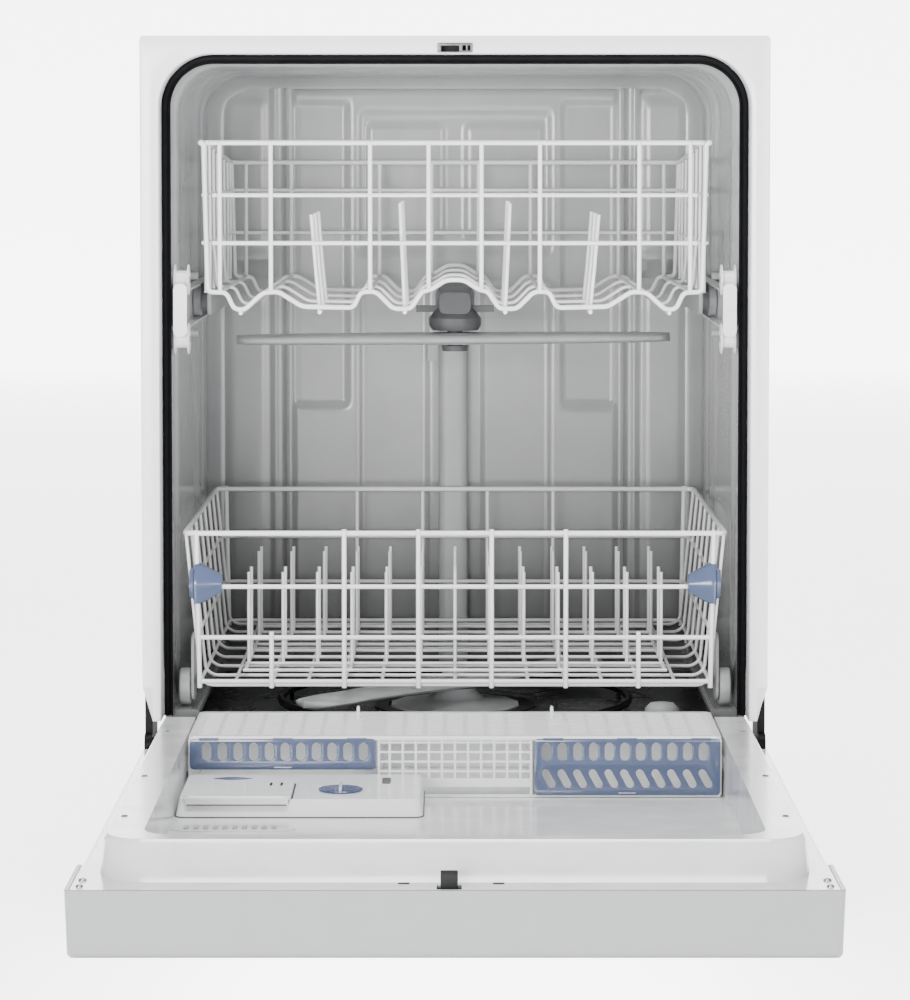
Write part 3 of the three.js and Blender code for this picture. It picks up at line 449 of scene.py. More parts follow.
# near-black sheet over the tank's floor, wet-looking: its near-black is painted shade over the floor's own
# darker grey
FLOOR_SHADE = surface("floor_painted_shade", (0.045, 0.046, 0.048), 0.28, vary=0.1, vary_size=40, bump=0.05,
              bump_size=2.0, shine=0.35)
BY_SLOT = {"white_enamel": WHITE, "tub_plastic": TUB, "white_plastic": LINER, "console_plastic": CONSOLE,
           "rack_coating": RACK, "grey_plastic": GREY, "dark_plastic": DARK, "seal_rubber": RUBBER,
           "steel": STEEL, "black_steel": BLACK, "motor_housing": MOTOR, "blue_plastic": BLUE,
           "navy_plastic": NAVY, "felt": FELT}
SLOT_OF = {material: slot for slot, material in BY_SLOT.items()}
SLOT_OF.update({BRIGHT: "white_plastic", FLOOR_SHADE: "dark_plastic", CHARCOAL: "dark_plastic", STRIKE: "steel"})
BY_NODE = {"spray_manifold": CHARCOAL, "dispenser_body": BRIGHT, "dispenser_lid": BRIGHT}
# edge radius of the larger mouldings, in millimetres
EDGE = {"door_liner": 2.2, "console": 1.6, "dispenser_body": 3.2, "dispenser_lid": 0.8,
        "door_outer_panel": 0.8, "spray_manifold": 1.0}


def dress_cad_nodes():
    """Every CAD node gets its slot's material, soft edges and smooth round faces."""
    slots = {p["node"]: p["material_slot"] for p in frame["record"]["subparts"]}
    for name, node in frame["nodes"].items():
        node.data.materials.clear()
        node.data.materials.append(BY_NODE.get(name, BY_SLOT[slots[name]]))
        node.data.shade_smooth()
        node.data.set_sharp_from_angle(angle=math.radians(35))
        joined = node.modifiers.new("weld", "WELD")
        joined.merge_threshold = 0.01 * MM
        edge = node.modifiers.new("edge", "BEVEL")
        edge.width = EDGE.get(name, 0.5) * MM
        edge.segments = 3
        edge.limit_method = "ANGLE"
        edge.angle_limit = math.radians(30 if name in EDGE else 50)
        facing = node.modifiers.new("facing", "WEIGHTED_NORMAL")
        facing.keep_sharp = True


# -------- camera, light, floor

CAMERA_HEIGHT = 751.5
CAMERA_AWAY = 3454.3      # from the tub's front plane
CAMERA_PITCH = 0.0551     # downwards, in radians
FOCAL_IN_FRAMES = 3.6243  # focal length over the frame's long side
SENSOR = 36
SHIFT = -0.15


def add_camera():
    camera = bpy.data.cameras.new("camera")
    camera.sensor_fit = "VERTICAL"
    camera.sensor_height = SENSOR
    camera.sensor_width = SENSOR
    camera.lens = SENSOR * FOCAL_IN_FRAMES
    camera.shift_y = SHIFT
    camera.clip_end = 50
    holder = linked("camera", camera)
    holder.location = (0, (FRONT - CAMERA_AWAY) * MM, CAMERA_HEIGHT * MM)
    holder.rotation_euler = (math.pi / 2 - CAMERA_PITCH, 0, 0)
    bpy.context.scene.camera = holder


def add_light(name, place, target, size, power):
    light = bpy.data.lights.new(name, "AREA")
    light.shape = "RECTANGLE"
    light.size, light.size_y = size
    light.energy = power
    holder = linked(name, light)
    holder.location = place
    holder.rotation_euler = (Vector(target) - Vector(place)).to_track_quat("-Z", "Y").to_euler()


def stage_plane(name, corners, glow):
    """A pale sheet of the studio that also gives a little light of its own."""
    mesh = bpy.data.meshes.new(name)
    mesh.from_pydata(corners, [], [(0, 1, 2, 3)])
    paint = surface(name + "_paint", (0.93, 0.93, 0.93), 0.7, vary=0.005, vary_size=400, bump=0.02)
    shader = paint.node_tree.nodes["Principled BSDF"]
    shader.inputs["Emission Color"].default_value = (1, 1, 1, 1)
    shader.inputs["Emission Strength"].default_value = glow
    mesh.materials.append(paint)
    linked(name, mesh)


def add_studio():
    world = bpy.data.worlds.new("studio")
    world.use_nodes = True
    sky = world.node_tree.nodes["Background"].inputs
    sky["Color"].default_value = (1, 1, 1, 1)
    sky["Strength"].default_value = 0.6
    bpy.context.scene.world = world
    add_light("key", (-1.3, -3.9, 0.8), (0, 0, 0.55), (1.3, 1.0), 120)
    add_light("fill", (1.9, -3.9, 0.7), (0, 0, 0.5), (1.3, 1.0), 45)
    add_light("top", (0, -0.5, 2.6), (0, -0.4, 0.2), (1.3, 0.5), 50)
    reach, back, screen = 16, 9, 3.4
    floor = [(-reach, -reach, 0), (reach, -reach, 0), (reach, back, 0), (-reach, back, 0)]
    wall = [(-screen, back, 0), (screen, back, 0), (screen, back, screen), (-screen, back, screen)]
    stage_plane("floor", floor, glow=3.4)
    stage_plane("backdrop", wall, glow=4.0)


# -------- tub

MOUTH = {"half": 282, "high": 842.8, "radius": 50, "deep": 38.3, "foot": 204}
FLANGE_STEP_Z = 236.6
SUMP_Y = 280
# height of the floor sheet, whose near-black colour is painted shade
FLOOR_SHADE_Z = 175.9
RACK_WHEEL = {"x": 263.8, "z": 227.2, "radius": 18, "width": 11, "front": 75, "back": 455}
TRACK_WHEEL = {"x": 264.6, "y": 56, "radius": 15, "hub": 9, "width": 14.4, "upper": 626, "lower": 569}
REAR_TRACK_Y = TRACK_WHEEL["y"] + 110
LATCH_POCKETS = ((-14, 5), (7, 15))  # behind the strike plate's slots
POCKET_Z = (844.6, 851.2)
POCKET_DEEP = 15
CAVITY = {"half": 274.6, "high": 835.6, "radius": 45, "floor": 175.4}


def tub_mouth():
    """Front flange, mouth and neck as one ring with rolled edges."""
    half, high, radius, deep, foot = MOUTH.values()
    sections = [
        (half, foot, high, radius, deep),
        (half, foot, high, radius, 3.0),
        (half + 0.7, foot, high + 0.7, radius + 0.7, 1.0),
        (half + 2.6, foot, high + 2.6, radius + 2, 0.05),
        (290, foot, 850, 40, 0.05),
        (290.2, FLANGE_STEP_Z, 850.2, 39, 0.05),
        (WIDE - 1.4, FLANGE_STEP_Z, TOP - 1.4, 3, 0.05),
        (WIDE - 0.4, FLANGE_STEP_Z, TOP - 0.4, 3.5, 0.4),
        (WIDE, FLANGE_STEP_Z, TOP, 4, 1.4),
        (WIDE, FLANGE_STEP_Z, TOP, 4, 4.0),
        (290.2, FLANGE_STEP_Z, 852, 50, 4.0),
        (290, foot, 852, 58, 4.2),
        (290, foot, 852, 58, 44),
        (half + 0.5, foot, high + 0.5, radius, 44.2),
    ]
    rows = [arch(*section) for section in sections]
    shape = Shape().sleeve(rows)
    for x0, x1 in LATCH_POCKETS:
        shape = carved(shape, x0, x1, -2, POCKET_DEEP, *POCKET_Z)
    make("tub_flange", shape, "cabinet", WHITE, sharp=30)


def tub_shell():
    """The moulded tank: rounded back corners, shallow upright flutes in the walls, thick rim."""
    half, high, radius, floor = CAVITY.values()
    steps = []
    for y in [38.5, 44, 60, 84, 90, 96, 130, 136, 142, 176, 182, 188, 240, 300, 360, 366, 372, 400, 406, 412,
              440, 446, 452, 490, 512]:
        fluted = 2.2 * (inside(y, 90, 136, 3) + inside(y, 366, 406, 3) + inside(y, 446, 505, 3))
        steps.append((y, half - 0.003 * y - fluted, floor, high - 0.003 * y - fluted, radius))
    for k in range(1, 8):
        turn = k / 8 * math.pi / 2
        inset = 22 * (1 - math.cos(turn))
        wall, roof = half - 2 - inset, high - 2 - inset * 0.8
        steps.append((515 + 26 * math.sin(turn), wall, floor + inset * 0.5, roof, radius - inset * 0.5))
    inner = [arch(h, low, top, r, y, floor=30) for y, h, low, top, r in steps]
    outer = [arch(h, 165, top, r, y, floor=30) for y, h, top, r in
             [(38.5, 281, 842, 52), (300, 279.5, 840.5, 51), (BACK, 278, 839, 50)]]
    shape = Shape()
    shape.solid(inner[::-1] + outer)
    for side in (-1, 1):
        ledge = [(side * 274, LEDGE_Z), (side * 252, LEDGE_Z), (side * 249.5, LEDGE_Z - 0.6),
                 (side * 248.2, LEDGE_Z - 3), (side * 248, 203), (side * 250, 199.5), (side * 274, 195)]
        shape.solid([[(x, y, z) for x, z in ledge] for y in spread(43, 520, 12)])
        for y in (TRACK_WHEEL["y"], REAR_TRACK_Y):
            for z in (TRACK_WHEEL["upper"], TRACK_WHEEL["lower"]):
                axle = [(3.6, 256.6), (3.6, 271.8), (8, 271.8), (9, 275)]
                shape.turned(y, z, [(r, side * x) for r, x in axle], sides=20, axis="x")
    lip = [(34, 166), (34, 196), (34.8, 198.3), (36.2, 199), (38, 198), (40, 190), (43, 180), (43, 166)]
    shape.solid([[(x, y, z) for y, z in lip] for x in spread(-276, 276, 24)])
    make("tub_shell", shape, "cabinet", TUB, replaces=["tub"], sharp=50)


# raised and sunk fields of the back wall: height, then from and to across the right half and upwards,
# then how soft the shoulders are each way; negative heights are sunk
RELIEF = (
    (3.5, 0, 178, 190, 817, 2, 2),
    (-3.0, 118, 176, 470, 803, 2, 2),
    (-3.0, 0, 104, 640, 793, 2, 2),
    (-3.0, 30, 104, 210, 600, 2, 2),
    (2.5, 12, 96, 656, 778, 2, 2),
    (3.5, 183.5, 188.5, 0, TOP, 1.6, 2),
    (3.5, 195.5, 200.5, 0, TOP, 1.6, 2),
    (3.0, 209, 250, 640, 806, 6, 8),
    (3.0, 209, 250, 230, 600, 6, 8),
)


def back_relief(x, z):
    """Height in millimetres of the back wall's moulded relief."""
    return sum(height * inside(abs(x), x0, x1, soft_x) * inside(z, z0, z1, soft_z)
               for height, x0, x1, z0, z1, soft_x, soft_z in RELIEF)


def back_panel():
    """The tank's embossed back wall."""
    columns = spread(-254, 254, 150)
    levels = spread(184, 819, 150)
    face = [[(x, 540.5 - back_relief(x, z), z) for x in columns] for z in levels]
    rim = [(x, 543.5, levels[0]) for x in columns]
    top = [(x, 543.5, levels[-1]) for x in columns]
    shape = Shape().rows([rim, *face, top])
    make("tub_back_relief", shape, "cabinet", TUB, sharp=60)


def tub_outside():
    """Stiffening ribs moulded on the outside of the tank's back."""
    shape = Shape()
    for x in (-210, -105, 0, 105, 210):
        shape.box(x - 3, x + 3, BACK - 3, BACK + 0.8, 250, 780)
    for z in (250, 425, 600, 780):
        shape.box(-230, 230, BACK - 3, BACK + 0.8, z - 3, z + 3)
    make("tub_outside_ribs", shape, "cabinet", TUB, bevel=0.8)


def tub_floor():
    """A near-black sheet over the tank's floor, with rings and radial drain ribs; its near-black is painted
    shade over the floor's own darker grey.
    """
    hole = arc(0, SUMP_Y, 76, 0, 1, 64)[:-1]
    lay = Matrix.Translation((0, 0, FLOOR_SHADE_Z))
    outline = rounded(-270, 270, 44, 532, 24)
    plate("tub_floor_shade_sheet", outline, [hole], 0.9, lay, "cabinet", FLOOR_SHADE, edge=0.2)
    shape = Shape()
    inner, outer, level = 104, 212, FLOOR_SHADE_Z - 0.3
    for radius in (inner, outer):
        shape.ring(0, SUMP_Y, level, radius, 2.4, 72)
    for k in range(12):
        turn = TAU * (k + 0.5) / 12
        reach = (inner + 4, 150, outer - 4)
        shape.tube([(r * math.cos(turn), SUMP_Y + r * math.sin(turn), level) for r in reach], 1.8, sides=6)
    make("tub_floor_ribs", shape, "cabinet", FLOOR_SHADE)


def gasket():
    """Bulb seal seated on the step inside the mouth."""
    profile = [(0.3, 37.9), (0.3, 30.5), (1.2, 28.9), (2.8, 28.4), (4.6, 28.9), (5.4, 30.6), (5.9, 31.6),
               (7.2, 30.9), (8.3, 31.8), (8.7, 34), (8.3, 36.8), (7.0, 37.9)]
    half, high, radius = (MOUTH[k] - 0.2 for k in ("half", "high", "radius"))
    rows = [arch(half - inset, 205, high - inset, radius - inset, y, sides=30, corner=20, top=40)
            for inset, y in profile]
    make("door_seal", Shape().sleeve(rows), "cabinet", RUBBER, replaces=["tub_gasket"], sharp=50)


def strike_recess():
    """Dark linings of the pockets behind the strike plate's slots, open at the top for the latch: painted
    shade inside the recesses.
    """
    z0, z1 = POCKET_Z
    shape = Shape()
    for x0, x1 in LATCH_POCKETS:
        shape.box(x0, x1, POCKET_DEEP - 0.4, POCKET_DEEP, z0, z1)
        shape.box(x0, x0 + 0.4, 0.4, POCKET_DEEP, z0, z1)
        shape.box(x1 - 0.4, x1, 0.4, POCKET_DEEP, z0, z1)
        shape.box(x0, x1, 0.4, POCKET_DEEP, z0, z0 + 0.2)
    make("strike_pocket_painted_shade", shape, "cabinet", DARK)


def strike():
    """Pressed strike plate with two slots."""
    slots = [rounded(*limits, 0.8) for limits in ((-13.2, 4.2, -3.6, 2.2), (7, 10.5, -2.6, 2.6),
                                                  (12, 14.8, -2.6, 2.6))]
    outline = rounded(-16.8, 16.8, -4.6, 4.6, 1.2)
    plate("strike", outline, slots, 1.1, upright(-0.9, 848.5), "cabinet", STRIKE,
          replaces=["strike_plate"], edge=0.2)


# -------- racks

WIRE = 2.35                # radius of a main wire
THIN = 1.7
UPPER = {"front": 60, "back": 505, "half": 244.5, "rim": 758.7, "rear": 738}
LOWER = {"front": 45, "back": 505, "half": 262, "foot": 247, "rim": 380.5, "floor": 232}
WAVE = [(0, 626), (9, 625.5), (24, 616), (32, 614.5), (43, 597.6), (60, 597.6), (76.5, 614.3), (91.3, 614.3),
        (98.7, 598.7), (148.2, 599.7), (171.3, 614.3), (186.1, 613.5), (204.7, 596.5), (214.6, 597.6),
        (222, 613.5), (240, 614)]


def mirror_path(half_path):
    """A path symmetric about the middle from its right half, as (x, z) pairs."""
    return [(-x, z) for x, z in half_path[:0:-1]] + list(half_path)


def wave_height(x):
    """Height of the upper rack's rolling floor at x."""
    x = abs(x)
    for (x0, z0), (x1, z1) in zip(WAVE, WAVE[1:]):
        if x0 <= x <= x1:
            return z0 + (z1 - z0) * (x - x0) / (x1 - x0)
    return WAVE[-1][1]


def bead(at, radius):
    """Profile of a ball of nylon centred at a point along the axis."""
    return [(max(0.05, radius * math.sin(math.pi * k / 10)), at - radius * math.cos(math.pi * k / 10))
            for k in range(11)]


def upper_rack():
    shape = Shape()
    front, back, half, rim, rear = UPPER.values()

    def rim_height(y):
        return rim + (rear - rim) * smoothstep(front, back, y) if y > 180 else rim

    loop = [(-half, front, rim), (half, front, rim), (half, 170, rim), (half, 330, rim - 12),
            (half, back, rear), (-half, back, rear), (-half, 330, rim - 12), (-half, 170, rim)]
    shape.tube(filleted(loop, 14, closed=True), WIRE + 0.2, closed=True, sides=10)
    for z in (708, 661.5):
        shape.tube([(-235, front, z), (235, front, z)], WIRE - 0.2, sides=10)
        side_bar = [(-half, front + 8, z), (-half, back, z), (half, back, z), (half, front + 8, z)]
        shape.tube(filleted(side_bar, 14), WIRE - 0.4)
    for x in (-228, -178.5, -82.3, -25.6, 25.6, 82.3, 178.5, 228):
        deck = wave_height(x) + 1
        path = [(x, front - 1.5, rim + 0.5), (x, front - 1.5, deck), (x, back - 4, deck - 2),
                (x, back + 1, rear + 2)]
        shape.tube(filleted(path, 10), WIRE - 0.1)
    for x in (-208, 208):
        shape.tube([(x, front - 1, 593.4), (x, back - 5, 593.4)], THIN + 0.2)
    for y in (front + 1.5, 200, 340, back - 3):
        main = y in (front + 1.5, back - 3)
        wave = mirror_path(WAVE)
        end = rim_height(y) - 1 if main else 661
        path = [(-half + 0.8, y, end)] + [(x, y, z) for x, z in wave] + [(half - 0.8, y, end)]
        shape.tube(filleted(path, 5, steps=4), WIRE if main else THIN, sides=10 if main else 8)
    for y in (96, 152, 208, 264, 320, 376, 432, 478):
        for side in (-1, 1):
            x = side * (half - 0.4)
            shape.tube([(x, y, 612), (x - side * 0.6, y, 661), (x, y, rim_height(y) - 1)], THIN)
    for x, tilt, tall in ((-131.3, -8.5, 94), (-48.7, -4.7, 105), (48.7, 4.7, 105), (131.3, 8.5, 94)):
        deck = 594.6
        shape.tube([(x, front - 3, deck), (x, back - 8, deck)], THIN + 0.4)
        for y in spread(68, 250, 3):
            tine = [(x, y, deck), (x + tilt * 0.5, y + 2, deck + tall * 0.45), (x + tilt, y + 6, deck + tall)]
            shape.tube(filleted(tine, 20, steps=3), THIN + 0.2)
    for side in (-1, 1):
        shape.turned(front + 0.5, rim, bead(side * 246, 3.0), sides=16, axis="x")
        shape.turned(front + 60, 694, bead(side * 246, 2.6), sides=16, axis="x")
    make("upper_rack_wires", shape, "upper_rack", RACK, replaces=["upper_rack_basket"], sharp=60)


def lean(z):
    """Half width of the lower rack's leaning sides at height z."""
    share = (z - LOWER["floor"]) / (LOWER["rim"] - LOWER["floor"])
    return LOWER["foot"] + (LOWER["half"] - LOWER["foot"]) * share


def lower_rack():
    shape = Shape()
    front, back, rim, floor = (LOWER[k] for k in ("front", "back", "rim", "floor"))
    half = lean(rim)
    ring = [(-half, front, rim), (half, front, rim), (half, back, rim), (-half, back, rim)]
    shape.tube(filleted(ring, 9, closed=True), WIRE + 0.2, closed=True, sides=10)
    for z in (328.5, 279, 236):
        post = 251 - 3 * (rim - z) / (rim - floor)
        shape.tube([(-post, front, z), (post, front, z)], WIRE - 0.1, sides=10)
        half = lean(z)
        side_bar = [(-half, front + 6, z), (-half, back, z), (half, back, z), (half, front + 6, z)]
        shape.tube(filleted(side_bar, 14), WIRE - 0.4)
    stays = [(x, rim + 4, rim) for x in (-107.5, -35.5, 35.5, 107.5)] + [(x, 285, 283) for x in (-178, 178)]
    for x, front_top, back_top in stays:
        shape.tube([(x, front - 2, front_top), (x, front - 2, floor - 2)], WIRE, sides=10)
        path = [(x, front - 1, floor + 2), (x, back + 1.2, floor + 2), (x, back + 1.2, back_top)]
        shape.tube(filleted(path, 8), WIRE - 0.4)
    for x in (-214, -143, -71, 0, 71, 143, 214):
        shape.tube([(x, front + 1, floor + 2.5), (x, back - 1, floor + 2.5)], THIN)
    for side in (-1, 1):
        for y in (front - 1, back + 1):
            shape.tube([(side * 248, y, floor - 2), (side * 251, y, rim + 3)], WIRE + 0.1, sides=10)
    for y in spread(front + 4, back - 4, 8):
        path = [(-lean(rim) + 0.8, y, rim), (-lean(238) + 0.5, y, 238), (-lean(floor) + 8, y, floor),
                (lean(floor) - 8, y, floor), (lean(238) - 0.5, y, 238), (lean(rim) - 0.8, y, rim)]
        shape.tube(filleted(path, 6, steps=3), THIN)
    make("lower_rack_wires", shape, "lower_rack", RACK, replaces=["lower_rack_basket"], sharp=60)
    tines = Shape()
    columns = [(i - 6) * 34.3 for i in range(13)]
    for y in (96, 143, 190, 237, 284, 331, 378, 425):
        tines.tube([(-209, y, 239.6), (209, y, 239.6)], THIN)
        if y in (143, 190, 331, 378):
            for x in columns:
                tine = [(x, y, 240), (x, y - 1, 284), (x, y + 3, 331)]
                tines.tube(filleted(tine, 20, steps=3), THIN)
    for x in (-206, -103, 0, 103, 206):
        tines.tube([(x, 96, 240.6), (x, 425, 240.6)], THIN)
    make("lower_rack_tine_wires", tines, "lower_rack", RACK, replaces=["lower_rack_tines"], sharp=60)


# -------- racks' fittings

CLIP_Y, CLIP_Z = 47, 331.5  # axis of the corner clips


def corner_clips():
    """Blue clips over the front corners of the lower rack: faceted cones with softened edges."""
    stations = [(225.8, 7.4, 6.4), (226.3, 9, 8), (233, 13.3, 9.6), (241, 18.2, 11.2), (248, 21.6, 12.4),
                (250.5, 22.2, 12.8), (252.5, 21.0, 12.4), (254, 16.2, 10.4), (257.5, 14.5, 9.6)]
    for name, side in SIDES:
        rows = []
        for x, tall, deep in stations:
            row = []
            for k in range(40):
                turn = TAU * (k + 0.5) / 40
                facet = 1 / math.cos((turn % (TAU / 6)) - TAU / 12)
                reach = 0.93 * (1 + 0.6 * (facet - 1))
                row.append((side * x, CLIP_Y + deep * reach * math.cos(turn),
                            CLIP_Z + tall * reach * math.sin(turn)))
            rows.append(row)
        shape = Shape().solid(rows)
        for x, reach in ((228, 10.8), (252, 21.0)):
            near, far = sorted((side * x, side * (x + 1.6)))
            shape.box(near, far, CLIP_Y - 1.6, CLIP_Y + 1.6, CLIP_Z - reach, CLIP_Z + reach)
        make("corner_clip_shell_" + name, shape, "lower_rack", BLUE,
             replaces=["corner_clip_" + name], sharp=32)


def wheel_profile(radius, width):
    """Half section of a moulded wheel: hub, web, rim and rolled edges."""
    half = width / 2
    side = [(2.2, half), (5.5, half), (6, half - 0.6), (6, half - 2), (radius - 4, half - 2.4),
            (radius - 3.2, half - 0.5), (radius - 1.6, half), (radius - 0.3, half - 0.9),
            (radius, half - 2.2)]
    return [(r, -a) for r, a in side] + side[::-1]


def spool_profile(radius, hub, width):
    """Half section of a grooved wheel: thin flanges with a rolled rim either side of a round hub."""
    half = width / 2
    side = [(4.1, half), (6.4, half), (6.9, half - 0.5), (radius - 3.5, half - 0.5), (radius - 2.8, half),
            (radius - 0.6, half), (radius, half - 0.5), (radius, half - 1.1), (radius - 0.4, half - 1.5),
            (hub + 0.8, half - 1.5), (hub, half - 2.3)]
    return [(r, -a) for r, a in side] + side[::-1]


def rack_wheels():
    """Lower rack wheels with spokes and rounded treads."""
    z = RACK_WHEEL["z"]
    for end in ("front", "back"):
        y = RACK_WHEEL[end]
        for name, side in SIDES:
            x = side * RACK_WHEEL["x"]
            profile = [(r, x + a) for r, a in wheel_profile(RACK_WHEEL["radius"], RACK_WHEEL["width"])]
            shape = Shape().turned(y, z, profile, sides=44, axis="x")
            for k in range(6):
                a, b = math.cos(TAU * k / 6), math.sin(TAU * k / 6)
                shape.tube([(x, y + 5 * a, z + 5 * b), (x, y + 15 * a, z + 15 * b)], 3.4)
            body = f"rack_wheel_{end}_{name}"
            make(body + "_moulding", shape, body, GREY, replaces=[body])


def track_wheels():
    """Grooved wheels that carry the upper rails."""
    section = spool_profile(TRACK_WHEEL["radius"], TRACK_WHEEL["hub"], TRACK_WHEEL["width"])
    for level in ("upper", "lower"):
        for name, side in SIDES:
            profile = [(r, side * TRACK_WHEEL["x"] + a) for r, a in section]
            shape = Shape().turned(TRACK_WHEEL["y"], TRACK_WHEEL[level], profile, sides=44, axis="x")
            body = f"track_wheel_{level}_{name}"
            make(body + "_moulding", shape, body, RACK, replaces=[body])


def spray_arm(name, y, low, high, reach, turn, hub=9):
    """A hollow blow-moulded arm: swept teardrop plan, domed top, round jets and a hub ring."""
    middle = (low + high) / 2
    rows = []
    for s in spread(-reach, reach, 61):
        along = abs(s) / reach
        width = 22 + 14 * (1 - along) ** 1.6 + 5 * inside(along, 0.72, 0.93, 0.1)
        if along > 0.93:
            width *= math.sqrt(max(0.0, 1 - ((along - 0.93) / 0.07) ** 2))
        width = max(width, 1.0)
        sweep = 10 * math.copysign(1, s) * along ** 2
        tall = (high - low) / 2 * (1 - 0.25 * along ** 3)
        row = []
        for k in range(20):
            cos, sin = math.cos(TAU * k / 20), math.sin(TAU * k / 20)
            a = math.copysign(abs(cos) ** 0.75, cos) * width
            b = math.copysign(abs(sin) ** 0.85, sin) * tall
            row.append((s, sweep + a, middle + b))
        rows.append(row)
    shape = Shape().solid(rows)
    top = high - 1.6
    jet = [(4.6, top - 1), (4.2, top + 0.8), (2.8, top + 1.3), (1.5, top + 0.8), (1.2, top - 1.5)]
    for sign in (-1, 1):
        for share in (0.3, 0.48, 0.66, 0.84):
            shape.turned(sign * reach * share, sign * (10 * share ** 2 + 7), jet, sides=18)
    shape.moved(Matrix.Translation((0, y, 0)) @ Matrix.Rotation(turn, 4, "Z"))
    ring = [(hub, low + 0.2), (24, low + 0.6), (25, low + 2), (25, high - 1.5), (23.5, high - 0.3),
            (hub, high)]
    shape.turned(0, y, ring, sides=36)
    make(name + "_moulding", shape, name, GREY, replaces=[name], sharp=45)


# -------- door

BASKET = {"half": 245, "mouth": -150, "back": 4, "low": 157.3, "high": 213, "divider": 70}


def capsule_hole(a, b, half_width, half_length, turn=0.0):
    """A slot with round ends, its length along the second axis before turning."""
    loop = arc(0, half_length - half_width, half_width, 0.0, 0.5, 5)
    loop += arc(0, -half_length + half_width, half_width, 0.5, 1.0, 5)
    cos, sin = math.cos(turn), math.sin(turn)
    return [(a + x * cos - y * sin, b + x * sin + y * cos) for x, y in loop]


def cutlery_basket():
    """Injection-moulded cutlery basket: lattice top, ribbed walls, three rooms open at the front."""
    half, mouth, back, low, high, divider = BASKET.values()
    slots = []
    for column in range(25):
        x = -228 + column * 19
        if abs(abs(x) - divider) < 9:
            continue
        for row in range(13):
            y = mouth + 17 + row * 10
            slots.append([(x - 7.4, y - 2.9), (x + 7.4, y - 2.9), (x + 7.4, y + 2.9), (x - 7.4, y + 2.9)])
    top = Matrix.Translation((0, 0, high - 1.3))
    outline = rounded(-half, half, mouth, back, 7)
    plate("basket_top", outline, slots, 2.4, top, "door", BRIGHT,
          replaces=["cutlery_basket"], edge=0.4)
    shape = Shape()
    shape.box(-half + 1, half - 1, mouth + 1, back - 1, low, low + 2.4)
    for x in (-half + 1.2, -divider, divider, half - 1.2):
        shape.box(x - 1.2, x + 1.2, mouth + 0.4, back - 1, low + 2.4, high - 2.5)
    shape.box(-half + 1, half - 1, back - 3.4, back - 1, low + 2.4, high - 2.5)
    for x in spread(-half + 10, half - 10, 26):
        shape.box(x - 0.7, x + 0.7, mouth + 8, back - 8, high - 5.6, high - 2.5)
    shape.box(-divider + 1.2, divider - 1.2, mouth + 0.4, mouth + 3, low + 9.5, low + 17.5)
    for z in spread(low + 23, high - 6, 4):
        shape.box(-divider + 1.2, divider - 1.2, mouth + 0.6, mouth + 2.6, z, z + 2)
    for x in spread(-divider + 10, divider - 10, 11):
        shape.box(x - 1.2, x + 1.2, mouth + 0.4, mouth + 2.8, low + 17.5, high - 2.5)
    shape.tube([(-half + 4, mouth + 1.2, high - 1.3), (half - 4, mouth + 1.2, high - 1.3)], 2.2, sides=12)
    for x in (-92, 92):
        hook = filleted([(x, -36, high - 1), (x, -36, high + 9), (x, -25, high + 9), (x, -25, high + 3)], 4)
        shape.tube(hook, 1.4, sides=10)
    make("basket_walls", shape, "door", BRIGHT, bevel=0.4)


def basket_lids():
    """Hinged slotted lids over the outer rooms, with a hinge barrel and a thumb tab."""
    hinge_y, high = BASKET["mouth"] - 1.5, BASKET["high"]
    for name, side, low in (("right", 1, 159.6), ("left", -1, 183.4)):
        body = "basket_lid_" + name
        holes = [capsule_hole(side * (84 + 14.4 * k), 200, 4.3, 8.5) for k in range(11)]
        if low < 170:
            holes += [capsule_hole(side * (86 + 14.4 * k), 175, 3.6, 9.5, side * 0.5) for k in range(11)]
        near, far = sorted((side * 72.6, side * 243.6))
        outline = rounded(near, far, low, high - 1.2, 4)
        plate(body + "_plate", outline, holes, 2.2, upright(hinge_y), body, BLUE, replaces=[body], edge=0.5)
        shape = Shape()
        for x in (side * 90, side * 158, side * 226):
            barrel = [(x + side * end, hinge_y, high - 1.8) for end in (-9, 9)]
            shape.tube(barrel, 1.5, sides=12)
        tab = [(side * x, hinge_y - 0.9, low + 1.6) for x in (150, 166)]
        shape.tube(tab, 1.1, sides=10)
        make(body + "_hinge", shape, body, BLUE)


CUP = {"x0": -236, "x1": -148, "y0": -286, "y1": -222, "top": 181}  # lid of the detergent cup
CAP = {"x": -102, "y": -246}                                        # middle of the rinse aid cap


